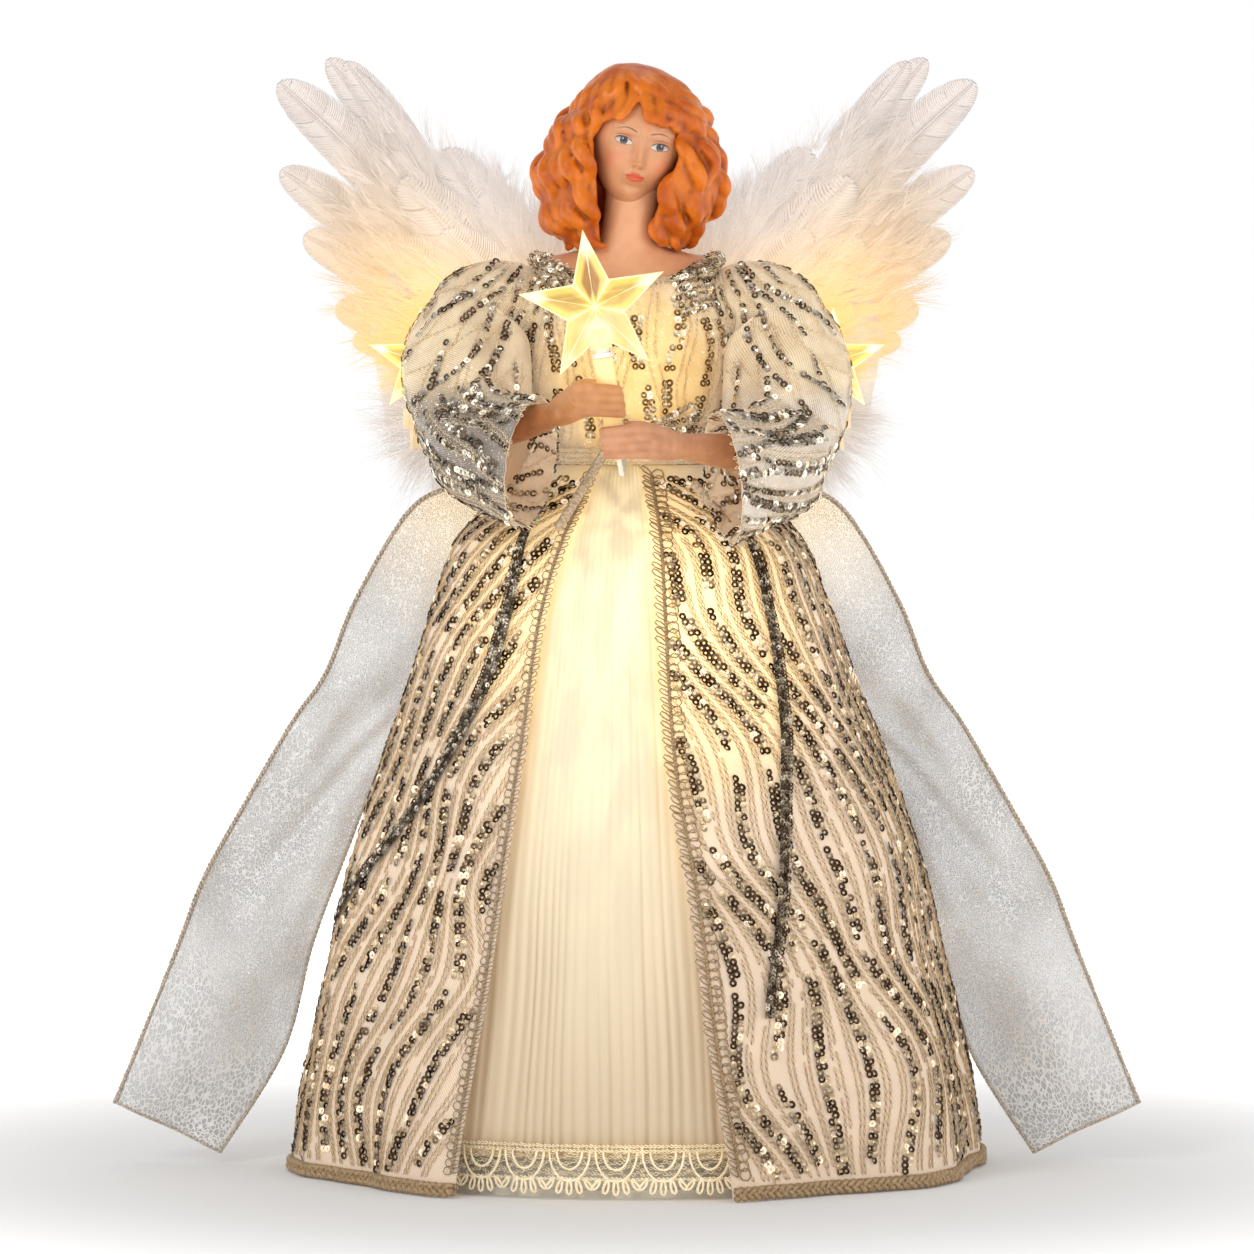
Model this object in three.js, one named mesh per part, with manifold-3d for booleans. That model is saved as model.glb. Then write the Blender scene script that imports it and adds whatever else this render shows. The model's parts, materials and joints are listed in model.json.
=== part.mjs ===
// An angel tree topper: a doll bust over a clip-lamp cone, in a gown with an open sequin robe, pleated
// underskirt, puffed sleeves, feather wings, two sheer ribbons and a lit star held in both hands.
import * as THREE from "three";
import { mergeVertices } from "three/addons/utils/BufferGeometryUtils.js";
import Module from "manifold-3d";

const wasm = await Module();
wasm.setup();

// Driving sizes, in millimetres. +Z is up, the angel faces -Y, and left and right are the viewer's.
const seatGap = 0.3; // between two pieces that touch
const clothGap = 0.7; // between the robe and a trim sewn on it
const overrun = 2; // how far a cutting body passes the face it cuts
const clothWall = 1.2;
const mergeStep = 1e-4; // corners closer than this are one

// Gown
const skirtHeight = 258; // hem to waist seam
const skirtHalfWidth = 125;
const skirtHalfDepth = 113;
const waistHalfWidth = 36;
const waistHalfDepth = 27;
const skirtSwing = 4.5; // how far the hem hangs to the right
const foldDepth = 3.6;
const foldCount = 8;
const robeLift = 0.6; // hem above the surface
const skirtFlareShares = [1, 0.97, 0.915, 0.85, 0.79, 0.705, 0.607, 0.5, 0.405, 0.285, 0];
const leftEdgeDegrees = [31, 29, 27, 26, 25, 17];
const rightEdgeDegrees = [15, 12, 10, 7, 7, 8];
const robeRowShares = [0, 0.12, 0.25, 0.4, 0.55, 0.7, 0.82, 0.9, 0.95, 1];

// Underskirt and its lace
const satinWall = 1;
const pleatDepth = 1.5;
const pleatCount = 48;
const underskirtLift = 14;
const underskirtRowShares = [0, 0.45, 0.82, 1];
const laceWall = 1;
const laceHeight = 19;
const laceLift = 1.4;
const scallopDepth = 5;
const scallopCount = 32;
const scallopColumns = 3;

// Braids and sash tails
const braidThickness = 1.8;
const wideBraidWidth = 8;
const narrowBraidWidth = 5;
const hemBraidHeight = 5;
const tailWidth = 5;
const tailThickness = 0.8;
const leftTailDegrees = [-78, -62, -48, -40, -37, -38];
const rightTailDegrees = [24, 29, 34, 40, 43, 43];
const leftTailEndShare = 0.36;
const rightTailEndShare = 0.25;
const tailTopShare = 0.95;
const tailRowCount = 14;

// Bodice, torso and bust
const necklineRise = 66; // waist seam to the neckline's lowest point
const shoulderRise = 9; // further rise over the shoulders
const napeRise = 5; // further rise at the back
const chestHalfWidth = 43;
const chestHalfDepth = 28.5;
const chestShare = 0.65; // height of the chest in the bodice
const neckHoleHalfWidth = 31;
const neckHoleHalfDepth = 23;
const coreTopShare = 0.84;
const waistbandHeight = 6;
const waistbandThickness = 1.4;
const neckTrimRadius = 2.2;
const neckRadius = 11.3;
const neckHeight = 31; // above the neckline's lowest point, into the head
const headHalfWidth = 17.5;
const headHalfDepth = 19;
const headHalfHeight = 23.5;
const headShift = 3.5; // to the right
const headForward = 9;
const headRise = 50.7; // above the neckline's lowest point
const headTiltDegrees = 12;
const jawTaperShare = 0.3;
const neckLeanShare = 0.5; // of the head's shift, halfway up the neck

// Hair: a cap and big moulded curls, placed from the head's centre in shares of its half sizes, with a size
const hairThickness = 4.2;
const curlRadius = 8;
const curlShares = [
  [-1, 0.3, -0.7, 1.6],
  [1.05, 0.3, -0.75, 1.6],
  [-1.34, 0.32, -0.04, 1],
  [-1.57, 0.21, -0.6, 1.2],
  [-1.57, 0.21, -1.12, 1.12],
  [-1.15, 0.05, -1.4, 0.92],
  [-0.83, 0.9, -0.98, 1.6],
  [0, 1, -1.04, 1.75],
  [0.72, 0.9, -1, 1.6],
  [1, 0.16, -1.18, 1.12],
  [1.36, 0.21, -0.7, 1.2],
  [1.24, 0.32, -0.16, 0.95],
];
const faceHalfWidthShare = 0.97;
const faceHalfHeightShare = 0.9;
const faceDropShare = 0.28;
const faceFrontShare = 1.35;

// Cone that stands on the tree and carries everything
const coneDrop = 22; // its top below the waist seam
const coneHemGap = 15; // from its foot to the hem, where the gown is narrower
const coneTopRadius = 14;
const coneWall = 1.2;
const rimWidth = 4;
const rimHeight = 3;
const plugLength = 12;
const collarRadius = 17;
const wireBoreRadius = 5;
const wireBoreRise = 40; // above the waist seam

// Lamps
const socketRadius = 4;
const socketTail = 8;
const socketNose = 5;
const flangeRadius = 5.4;
const flangeThickness = 1.5;
const cupDepth = 5;
const bulbRadius = 2.4;
const bulbLength = 10;
const skirtLamps = [
  { degrees: -9, heightShare: 0.795 },
  { degrees: 15, heightShare: 0.64 },
  { degrees: 130, heightShare: 0.58 },
  { degrees: -125, heightShare: 0.465 },
];
const wireRadius = 0.9;
const wireSides = 8;
const wireSlackShare = 0.35; // of its way from the candle to the waist

// Candle, stars
const candleRadius = 3.6;
const candleWall = 0.8;
const candleLength = 36;
const candleShift = 2.9; // of its foot to the left
const candleForward = 92;
const candleRise = 4.5; // its foot above the waist seam
const candleTiltDegrees = 9;
const innerSocketLength = 12;
const innerCupDepth = 4;
const starRadius = 27.5;
const starHalfThickness = 5.6;
const starEdge = 1.6;
const starNotchShare = 0.4;
const starPoints = 5;
const starCollarWall = 1.3;
const starCollarLength = 4;
const sideStarRadius = 20;
const sideStarHalfThickness = 5;
const sideLampReach = 76;

// Arms and hands
const armWireRadius = 1.2;
const armWireInsert = 9;
const armWireBendShare = 0.5; // between the shoulder and the elbow
const forearmRadius = 7.2;
const wristRadius = 4.8;
const palmHalfLength = 9;
const palmHalfThickness = 6.2;
const palmHalfHeight = 7.2;
const fingerRadius = 1.9;
const fingerPitch = 3.5;
const fingerCount = 4;
const fingerLength = 12;
const armholeReach = 33;
const armholeForward = 2;
const armholeRise = 57; // above the waist seam
const elbowReach = 19; // out from the shoulder
const elbowForward = 49;
const leftElbowDrop = 45; // below the shoulder
const rightElbowDrop = 53;
const leftGripRise = 21; // up the candle
const rightGripRise = 6;
const leftWristReach = 24; // out from the candle's foot
const rightWristReach = 23;
const leftWristBack = 13; // behind it
const rightWristBack = 12;
const leftWristRise = 15; // above it
const rightWristRise = 4;
const arms = [
  {
    side: -1,
    elbowDrop: leftElbowDrop,
    gripRise: leftGripRise,
    wristReach: leftWristReach,
    wristBack: leftWristBack,
    wristRise: leftWristRise,
    cuffShare: 0.7, // along the forearm
    cuffSagShare: 1,
  },
  {
    side: 1,
    elbowDrop: rightElbowDrop,
    gripRise: rightGripRise,
    wristReach: rightWristReach,
    wristBack: rightWristBack,
    wristRise: rightWristRise,
    cuffShare: 0.55,
    cuffSagShare: 0.65,
  },
];

// Sleeves: shares of the way out, forward and down from the shoulder to the elbow, with the ring's size; then
// shares of the way along the covered forearm and of the cuff's sag, with the ring's size
const puffRadius = 22.5;
const armClearance = 1;
const puffFoldShare = 0.07;
const puffFoldCount = 5;
const sleeveColumns = 18;
const sleeveRings = 8;
const upperSleeveShares = [
  [0, 0, 0, 0.66],
  [0.65, 0.03, 0.02, 0.78],
  [1.15, 0.11, 0.22, 0.97],
  [1.3, 0.37, 0.57, 1],
  [1.2, 0.71, 0.89, 0.94],
];
const cuffPathShares = [
  [0.12, 0.45, 0.9],
  [0.6, 0.85, 0.95],
  [1, 1, 1],
];

// Bracket behind the torso, with the posts that the wings turn on
const bracketThickness = 3;
const bracketHalfWidth = 26;
const bracketRise = 12; // its foot above the waist seam
const bracketHeight = 46;
const bracketPegRadius = 3;
const bracketPegLength = 9;
const armHeight = 7;
const clipWall = 2.2;
const postReach = 20;
const postGap = 16; // from the bracket's back to the middle of the post
const postRadius = 1.6;
const earHeight = 4;
const earHalfWidth = 4;
const barrelWall = 1.8;

// Wings, as shares of the span from the post and of the rise from the wing's root
const wingSpan = 112;
const wingRise = 106;
const wingRootRise = 30; // above the bracket's foot
const leadShare = 0.34;
const wingSweepDegrees = 6;
const cardThickness = 1;
const featherThickness = 0.8;
const featherHalfWidth = 12;
const downThickness = 8;
const downBevel = 2.6;
const cardShares = [
  [0.01, 0.06],
  [0.01, -0.26],
  [0.42, -0.36],
  [0.62, -0.3],
  [0.68, 0.05],
  [0.58, 0.35],
  [0.3, 0.4],
];
const downShares = [
  [0.12, -0.1],
  [0.1, 0.28],
  [0.2, 0.5],
  [0.32, 0.66],
  [0.48, 0.8],
  [0.6, 0.76],
  [0.68, 0.5],
  [0.64, 0.2],
  [0.52, -0.04],
  [0.34, -0.13],
];
const tuftShares = [
  [0.14, -0.17],
  [0.36, -0.2],
  [0.56, -0.14],
  [0.74, -0.28],
  [0.7, -0.46],
  [0.58, -0.56],
  [0.44, -0.5],
  [0.26, -0.34],
];
// root x, root z, tip x, tip z, width
const featherShares = [
  [0.26, 0.06, 0.82, 1, 1],
  [0.3, 0.02, 0.99, 0.9, 1.1],
  [0.3, -0.02, 0.98, 0.61, 0.95],
  [0.3, -0.06, 0.9, 0.38, 0.9],
  [0.28, -0.1, 0.8, 0.15, 0.85],
];
// along the quill, half width
const vaneShares = [
  [0, 0.1],
  [0.14, 0.14],
  [0.3, 0.6],
  [0.55, 1],
  [0.8, 0.92],
  [0.94, 0.6],
];

// Sheer ribbons: outer x, outer z, inner x, inner z as shares of reach and drop from the knot, and how far
// back of the knot they run, as a share of the sway
const knotRadius = 5;
const knotRise = 4.5; // above the waist seam
const ribbonSpread = 59; // past the hem, to its tip
const ribbonLift = 4; // its lowest point above the surface
const ribbonSway = 38;
const ribbonWall = 0.8;
const ribbonWave = 1.6;
const ribbonWaves = 5;
const ribbonColumns = 4;
const ribbonRows = 18;
const ribbonShares = [
  [0, 0, 0, 0.02, 0],
  [0.157, 0.02, 0.152, 0.075, 0.1],
  [0.31, 0.06, 0.28, 0.115, 0.03],
  [0.41, 0.1, 0.32, 0.165, 0.03],
  [0.517, 0.225, 0.355, 0.285, 0.1],
  [0.578, 0.33, 0.41, 0.39, 0.13],
  [0.65, 0.405, 0.475, 0.475, 0.06],
  [0.753, 0.53, 0.537, 0.585, -0.05],
  [0.823, 0.62, 0.605, 0.715, -0.05],
  [0.877, 0.72, 0.66, 0.86, -0.3],
  [0.995, 0.93, 0.785, 1, -0.7],
];

// Colours from the lit figure
const finish = {
  cone: { color: 0xe9e4da, roughness: 0.6, metalness: 0 },
  wire: { color: 0xd8d2c4, roughness: 0.5, metalness: 0 },
  skin: { color: 0xd9a07c, roughness: 0.55, metalness: 0 },
  hair: { color: 0xc05a16, roughness: 0.4, metalness: 0 },
  robe: { color: 0xd9c9ab, roughness: 0.7, metalness: 0.1 },
  braid: { color: 0xa8957a, roughness: 0.45, metalness: 0.5 },
  satin: { color: 0xf5e9cc, roughness: 0.5, metalness: 0 },
  sequin: { color: 0x6b5c4a, roughness: 0.25, metalness: 0.8 },
  ribbon: { color: 0xcfd0d2, roughness: 0.35, metalness: 0.4 },
  feather: { color: 0xf5efe8, roughness: 0.85, metalness: 0 },
  glow: { color: 0xffe27a, roughness: 0.1, metalness: 0 },
  bracket: { color: 0xf0eee8, roughness: 0.5, metalness: 0 },
  steel: { color: 0x9a9a98, roughness: 0.35, metalness: 0.9 },
};

// Places that several pieces share
const ribbonReach = skirtHalfWidth + ribbonSpread;
const radians = THREE.MathUtils.degToRad;
const coneTop = skirtHeight - coneDrop;
const coneFootRadius = Math.min(skirtHalfWidth, skirtHalfDepth) - coneHemGap;
const coneSlope = Math.atan2(coneFootRadius - coneTopRadius, coneTop);
const bodiceFoot = skirtHeight + seatGap;
const necklineHeight = bodiceFoot + necklineRise;
const headCentre = new THREE.Vector3(headShift, -headForward, necklineHeight + headRise);
const candleFoot = new THREE.Vector3(-candleShift, -candleForward, skirtHeight + candleRise);
const candleUp = new THREE.Vector3(0, 0, 1).applyAxisAngle(
  new THREE.Vector3(0, 1, 0),
  -radians(candleTiltDegrees),
);
const bracketFront = chestHalfDepth + seatGap;
const bracketBack = bracketFront + bracketThickness;
const bracketFoot = skirtHeight + bracketRise;
const bracketTop = bracketFoot + bracketHeight;
const postBack = bracketBack + postGap;
const wingRoot = bracketFoot + wingRootRise;
const sideLampBack = bracketBack - socketRadius - seatGap;
const sideLampSeat = bracketFoot + armHeight + seatGap;

// Geometry helpers

function toSolid(geometry) {
  const bare = geometry.clone();
  bare.deleteAttribute("normal");
  bare.deleteAttribute("uv");
  const merged = mergeVertices(bare, mergeStep);
  return new wasm.Manifold(
    new wasm.Mesh({
      numProp: 3,
      vertProperties: new Float32Array(merged.attributes.position.array),
      triVerts: new Uint32Array(merged.index.array),
    }),
  );
}

function toGeometry(solid) {
  const mesh = solid.getMesh();
  const geometry = new THREE.BufferGeometry();
  geometry.setAttribute("position", new THREE.BufferAttribute(mesh.vertProperties, 3));
  geometry.setIndex(new THREE.BufferAttribute(mesh.triVerts, 1));
  geometry.computeVertexNormals();
  return geometry;
}

function join(...geometries) {
  return toGeometry(geometries.map(toSolid).reduce((sum, next) => sum.add(next)));
}

// Cuts the cutters away and keeps the main body, without the slivers that a cut can leave.
function cut(geometry, ...cutters) {
  const left = cutters.reduce((rest, next) => rest.subtract(toSolid(next)), toSolid(geometry));
  const bodies = left.decompose().sort((a, b) => b.volume() - a.volume());
  return toGeometry(bodies[0]);
}

// A closed body from points and triangles, turned so that its faces point out.
function body(points, triangles) {
  const corner = (i) => points[i];
  const volume = triangles.reduce(
    (sum, [a, b, c]) => sum + corner(a).dot(corner(b).clone().cross(corner(c))),
    0,
  );
  const facing = volume < 0 ? triangles.map(([a, b, c]) => [a, c, b]) : triangles;
  const geometry = new THREE.BufferGeometry().setFromPoints(points);
  geometry.setIndex(facing.flat());
  geometry.computeVertexNormals();
  return geometry;
}

// The triangles of a grid of rows of equal length, which closes on itself along each row if it is a ring.
function gridTriangles(rows, columns, ring, start) {
  const triangles = [];
  for (let r = 0; r + 1 < rows; r++) {
    for (let c = 0; c < (ring ? columns : columns - 1); c++) {
      const next = (c + 1) % columns;
      const a = start + r * columns + c;
      const b = start + r * columns + next;
      triangles.push([a, b, b + columns], [a, b + columns, a + columns]);
    }
  }
  return triangles;
}

// A cloth wall between an outer and an inner grid of points.
function wall(outer, inner, ring) {
  const rows = outer.length;
  const columns = outer[0].length;
  const size = rows * columns;
  const points = [...outer.flat(), ...inner.flat()];
  const triangles = gridTriangles(rows, columns, ring, 0);
  gridTriangles(rows, columns, ring, size).forEach(([a, b, c]) => triangles.push([a, c, b]));
  const rim = (a, b) => triangles.push([a, a + size, b + size], [a, b + size, b]);
  for (let c = 0; c < (ring ? columns : columns - 1); c++) {
    const next = (c + 1) % columns;
    const last = (rows - 1) * columns;
    rim(c, next);
    rim(last + next, last + c);
  }
  for (let r = 0; !ring && r + 1 < rows; r++) {
    rim((r + 1) * columns, r * columns);
    rim(r * columns + columns - 1, (r + 1) * columns + columns - 1);
  }
  return body(points, triangles);
}

// A body through rings of points, closed by a cap at each end.
function loft(rings) {
  const columns = rings[0].length;
  const middle = (ring) =>
    ring.reduce((sum, p) => sum.add(p), new THREE.Vector3()).divideScalar(ring.length);
  const points = [...rings.flat(), middle(rings[0]), middle(rings[rings.length - 1])];
  const triangles = gridTriangles(rings.length, columns, true, 0);
  const foot = points.length - 2;
  const last = (rings.length - 1) * columns;
  for (let c = 0; c < columns; c++) {
    const next = (c + 1) % columns;
    triangles.push([foot, next, c], [foot + 1, last + c, last + next]);
  }
  return body(points, triangles);
}

// Rings of points round a closed path make a closed band.
function hoop(rings) {
  const columns = rings[0].length;
  return body(rings.flat(), gridTriangles(rings.length + 1, columns, true, 0).map((t) =>
    t.map((i) => i % (rings.length * columns))));
}

function grid(rowShares, columns, ring, place) {
  const shares = Array.from({ length: columns }, (_, c) => c / (ring ? columns : columns - 1));
  return rowShares.map((r) => shares.map((c) => place(r, c)));
}

const evenShares = (count) => Array.from({ length: count }, (_, i) => i / (count - 1));

// The value at a share of the way along a list of evenly spaced values, on a smooth curve.
function along(values, share) {
  const points = values.map((v, i) => new THREE.Vector2(i, v));
  return new THREE.SplineCurve(points).getPoint(share).y;
}

// A turned body about +Z from a profile of [radius, height] pairs that starts and ends on the axis.
function turned(profile, segments = 12) {
  const points = profile.map(([r, z]) => new THREE.Vector2(r, z));
  return new THREE.LatheGeometry(points, segments).rotateX(Math.PI / 2);
}

function ringProfile(profile, segments) {
  return turned([...profile, profile[0]], segments);
}

function tube(points, radius, steps, sides) {
  const section = new THREE.Shape(
    Array.from({ length: sides }, (_, i) => {
      const angle = (2 * Math.PI * i) / sides;
      return new THREE.Vector2(radius * Math.cos(angle), radius * Math.sin(angle));
    }),
  );
  const extrudePath = new THREE.CatmullRomCurve3(points, false, "centripetal");
  return new THREE.ExtrudeGeometry(section, { steps, bevelEnabled: false, extrudePath });
}

// A round bar from one point to another.
function bar(from, to, fromRadius, toRadius, sides = 10) {
  const axis = to.clone().sub(from);
  const geometry = new THREE.CylinderGeometry(toRadius, fromRadius, axis.length(), sides);
  geometry.applyQuaternion(
    new THREE.Quaternion().setFromUnitVectors(new THREE.Vector3(0, 1, 0), axis.clone().normalize()),
  );
  const centre = from.clone().add(to).divideScalar(2);
  return geometry.translate(centre.x, centre.y, centre.z);
}

function capsule(from, to, radius) {
  const axis = to.clone().sub(from);
  const geometry = new THREE.CapsuleGeometry(radius, axis.length(), 2, 6);
  geometry.applyQuaternion(
    new THREE.Quaternion().setFromUnitVectors(new THREE.Vector3(0, 1, 0), axis.clone().normalize()),
  );
  const centre = from.clone().add(to).divideScalar(2);
  return geometry.translate(centre.x, centre.y, centre.z);
}

function ball(centre, rx, ry, rz, across = 12, down = 8) {
  const geometry = new THREE.SphereGeometry(1, across, down).rotateX(Math.PI / 2);
  return geometry.scale(rx, ry, rz).translate(centre.x, centre.y, centre.z);
}

function block(lowX, highX, lowY, highY, lowZ, highZ) {
  const geometry = new THREE.BoxGeometry(highX - lowX, highY - lowY, highZ - lowZ);
  return geometry.translate((lowX + highX) / 2, (lowY + highY) / 2, (lowZ + highZ) / 2);
}

// A flat plate in the XZ plane, from its outline, with its front at a given depth.
function plate(outline, thickness, front, bevel = 0) {
  const shape = new THREE.Shape(outline.map(([x, z]) => new THREE.Vector2(x, z)));
  const geometry = new THREE.ExtrudeGeometry(shape, {
    depth: thickness - 2 * bevel,
    steps: 1,
    bevelEnabled: bevel > 0,
    bevelThickness: bevel,
    bevelSize: bevel,
    bevelOffset: -bevel,
    bevelSegments: 1,
  });
  return geometry.rotateX(Math.PI / 2).translate(0, front + thickness - bevel, 0);
}

// Skirt surfaces. Angles run from the front towards the viewer's right.

function skirtPoint(angle, share, inset, folds) {
  const flare = along(skirtFlareShares, share);
  const fold = folds * (1 - share) * Math.sin(foldCount * angle);
  const halfWidth = waistHalfWidth + (skirtHalfWidth - waistHalfWidth) * flare + fold - inset;
  const halfDepth = waistHalfDepth + (skirtHalfDepth - waistHalfDepth) * flare + fold - inset;
  return new THREE.Vector3(
    halfWidth * Math.sin(angle) + skirtSwing * (1 - share * share),
    -halfDepth * Math.cos(angle),
    skirtHeight * share,
  );
}

const leftEdge = (share) => -radians(along(leftEdgeDegrees, share));
const rightEdge = (share) => radians(along(rightEdgeDegrees, share));

function robeAngle(share, column) {
  const start = rightEdge(share);
  return start + column * (2 * Math.PI + leftEdge(share) - start);
}

const robeShare = (row) => (robeLift + row * (skirtHeight - robeLift)) / skirtHeight;

const robeColumns = 45;

function robeSkirt() {
  const side = (inset) =>
    grid(robeRowShares, robeColumns, false, (row, column) => {
      const share = robeShare(row);
      return skirtPoint(robeAngle(share, column), share, inset, foldDepth);
    });
  return wall(side(0), side(clothWall), false);
}

// A band laid on the robe between two angles at each height.
function bandOnRobe(rowShares, columns, thickness, angles) {
  const side = (inset) =>
    grid(rowShares, columns, false, (row, column) => {
      const share = robeShare(row);
      const [from, to] = angles(share);
      return skirtPoint(from + column * (to - from), share, inset, foldDepth);
    });
  return wall(side(-clothGap - thickness), side(-clothGap), false);
}

const widthAngle = (width, share) =>
  width / (waistHalfWidth + (skirtHalfWidth - waistHalfWidth) * along(skirtFlareShares, share));

function frontBraid(left) {
  const rows = [hemBraidHeight / skirtHeight + seatGap / skirtHeight, ...robeRowShares.slice(1, -1)];
  rows.push(1 - seatGap / skirtHeight);
  return bandOnRobe(rows, 3, braidThickness, (share) =>
    left
      ? [leftEdge(share) - widthAngle(narrowBraidWidth, share), leftEdge(share)]
      : [rightEdge(share), rightEdge(share) + widthAngle(wideBraidWidth, share)]);
}

function hemBraid() {
  const rows = [0, (hemBraidHeight - robeLift) / skirtHeight];
  return bandOnRobe(rows, robeColumns, braidThickness, (share) => [
    robeAngle(share, 0),
    robeAngle(share, 1),
  ]);
}

function sashTail(pathDegrees, end) {
  const rows = evenShares(tailRowCount).map((share) => end + share * (tailTopShare - end));
  return bandOnRobe(rows, 3, tailThickness, (share) => {
    const middle = radians(along(pathDegrees, (share - end) / (tailTopShare - end)));
    const half = widthAngle(tailWidth, share) / 2;
    return [middle - half, middle + half];
  });
}

const underskirtInset = (share) =>
  clothWall + clothGap + (foldDepth + laceWall + seatGap + clothGap) * (1 - share);

function underskirt() {
  const side = (depth) =>
    grid(underskirtRowShares, 2 * pleatCount, true, (row, column) => {
      const share = (underskirtLift + row * (skirtHeight - underskirtLift)) / skirtHeight;
      const pleat = Math.round(column * 2 * pleatCount) % 2 ? pleatDepth : 0;
      return skirtPoint(2 * Math.PI * column, share, underskirtInset(share) + pleat + depth, 0);
    });
  return wall(side(0), side(satinWall), true);
}

function laceHem() {
  const columns = scallopCount * scallopColumns;
  const side = (inset) =>
    grid([0, 1], columns, true, (row, column) => {
      const phase = Math.round(column * columns) % scallopColumns;
      const notch = row === 0 && phase === 0 ? scallopDepth : 0;
      const share = (laceLift + notch + row * (laceHeight - laceLift)) / skirtHeight;
      return skirtPoint(2 * Math.PI * column, share, underskirtInset(share) - inset, 0);
    });
  return wall(side(laceWall + clothGap), side(clothGap), true);
}

// Bodice surface, from the waist seam at share 0 to the neckline at share 1.

function bodiceHalf(share, waist, chest, neck) {
  return share < chestShare
    ? THREE.MathUtils.lerp(waist, chest, Math.sin((Math.PI / 2) * (share / chestShare)))
    : THREE.MathUtils.lerp(
        chest,
        neck,
        1 - Math.cos((Math.PI / 2) * ((share - chestShare) / (1 - chestShare))),
      );
}

function bodicePoint(angle, share, inset) {
  const halfWidth = bodiceHalf(share, waistHalfWidth, chestHalfWidth, neckHoleHalfWidth) - inset;
  const halfDepth = bodiceHalf(share, waistHalfDepth, chestHalfDepth, neckHoleHalfDepth) - inset;
  const rise =
    necklineRise +
    shoulderRise * Math.sin(angle) ** 2 +
    napeRise * Math.max(0, -Math.cos(angle)) ** 2;
  return new THREE.Vector3(
    halfWidth * Math.sin(angle),
    -halfDepth * Math.cos(angle),
    bodiceFoot + share * rise,
  );
}

const bodiceColumns = 20;
const bodiceRowShares = [0, 0.2, 0.42, chestShare, coreTopShare, 1];
const bodiceRing = (share, inset, lift = 0) =>
  evenShares(bodiceColumns + 1)
    .slice(0, -1)
    .map((c) => bodicePoint(2 * Math.PI * c, share, inset).add(new THREE.Vector3(0, 0, lift)));

const bodiceFilled = (grow) => loft(bodiceRowShares.map((share) => bodiceRing(share, -grow)));

function bodice() {
  const rows = (inset) => bodiceRowShares.map((share) => bodiceRing(share, inset));
  return cut(
    wall(rows(0), rows(clothWall), true),
    armWire(seatGap),
    lightString(seatGap),
    bracketPeg(seatGap),
  );
}

const linerInset = clothWall + seatGap;

function torsoCore() {
  const rings = bodiceRowShares
    .filter((share) => share <= coreTopShare)
    .map((share) => bodiceRing(share, linerInset));
  const plugRadius = coneTopRadius - coneWall - seatGap;
  const plug = turned([
    [0, coneTop - plugLength],
    [plugRadius, coneTop - plugLength],
    [plugRadius, coneTop + seatGap],
    [collarRadius, coneTop + seatGap],
    [collarRadius, bodiceFoot + overrun],
    [0, bodiceFoot + overrun],
  ], 16);
  const bore = bar(
    new THREE.Vector3(0, 0, coneTop - plugLength - overrun),
    new THREE.Vector3(0, 0, skirtHeight + wireBoreRise),
    wireBoreRadius,
    wireBoreRadius,
  );
  return cut(
    join(loft(rings), plug),
    bore,
    armWire(seatGap),
    lightString(seatGap),
    bracketPeg(seatGap),
  );
}

function waistband() {
  const share = waistbandHeight / necklineRise;
  const lift = seatGap / necklineRise;
  const rows = (outset) => [lift, share].map((row) => bodiceRing(row, -outset));
  return wall(rows(seatGap + waistbandThickness), rows(seatGap), true);
}

function neckTrim(grow) {
  const sides = 6;
  const centres = bodiceRing(1, -neckTrimRadius - seatGap);
  return hoop(
    centres.map((centre, i) => {
      const angle = (2 * Math.PI * i) / bodiceColumns;
      const out = new THREE.Vector3(Math.sin(angle), -Math.cos(angle), 0);
      return Array.from({ length: sides }, (_, s) => {
        const turn = (2 * Math.PI * s) / sides;
        const radius = neckTrimRadius + grow;
        return centre
          .clone()
          .addScaledVector(out, radius * Math.cos(turn))
          .add(new THREE.Vector3(0, 0, radius * Math.sin(turn)));
      });
    }),
  );
}

// Head, hair

function headFrame(geometry) {
  return geometry
    .rotateY(radians(headTiltDegrees))
    .translate(headCentre.x, headCentre.y, headCentre.z);
}

// The head's ball narrows towards the jaw.
function headBall(grow) {
  const geometry = new THREE.SphereGeometry(1, 14, 10).rotateX(Math.PI / 2);
  const position = geometry.attributes.position;
  for (let i = 0; i < position.count; i++) {
    const low = Math.max(0, -position.getZ(i));
    position.setX(i, position.getX(i) * (1 - jawTaperShare * low));
    position.setY(i, position.getY(i) * (1 - (jawTaperShare * low) / 2));
  }
  geometry.scale(headHalfWidth + grow, headHalfDepth + grow, headHalfHeight + grow);
  return headFrame(geometry);
}

function bust(grow) {
  const neckRing = (height, lean) =>
    evenShares(bodiceColumns + 1)
      .slice(0, -1)
      .map((c) => {
        const angle = 2 * Math.PI * c;
        return new THREE.Vector3(
          (neckRadius + grow) * Math.sin(angle) + lean * headCentre.x,
          -(neckRadius + grow) * Math.cos(angle) + (lean * headCentre.y) / 2,
          height,
        );
      });
  const plateRows = [coreTopShare, 1].map((share, i) =>
    bodiceRing(share, linerInset - grow, i ? 0 : seatGap - grow));
  const neck = loft([
    ...plateRows,
    neckRing(necklineHeight + neckHeight / 2, neckLeanShare),
    neckRing(necklineHeight + neckHeight, 1),
  ]);
  return join(neck, headBall(grow));
}

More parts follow.
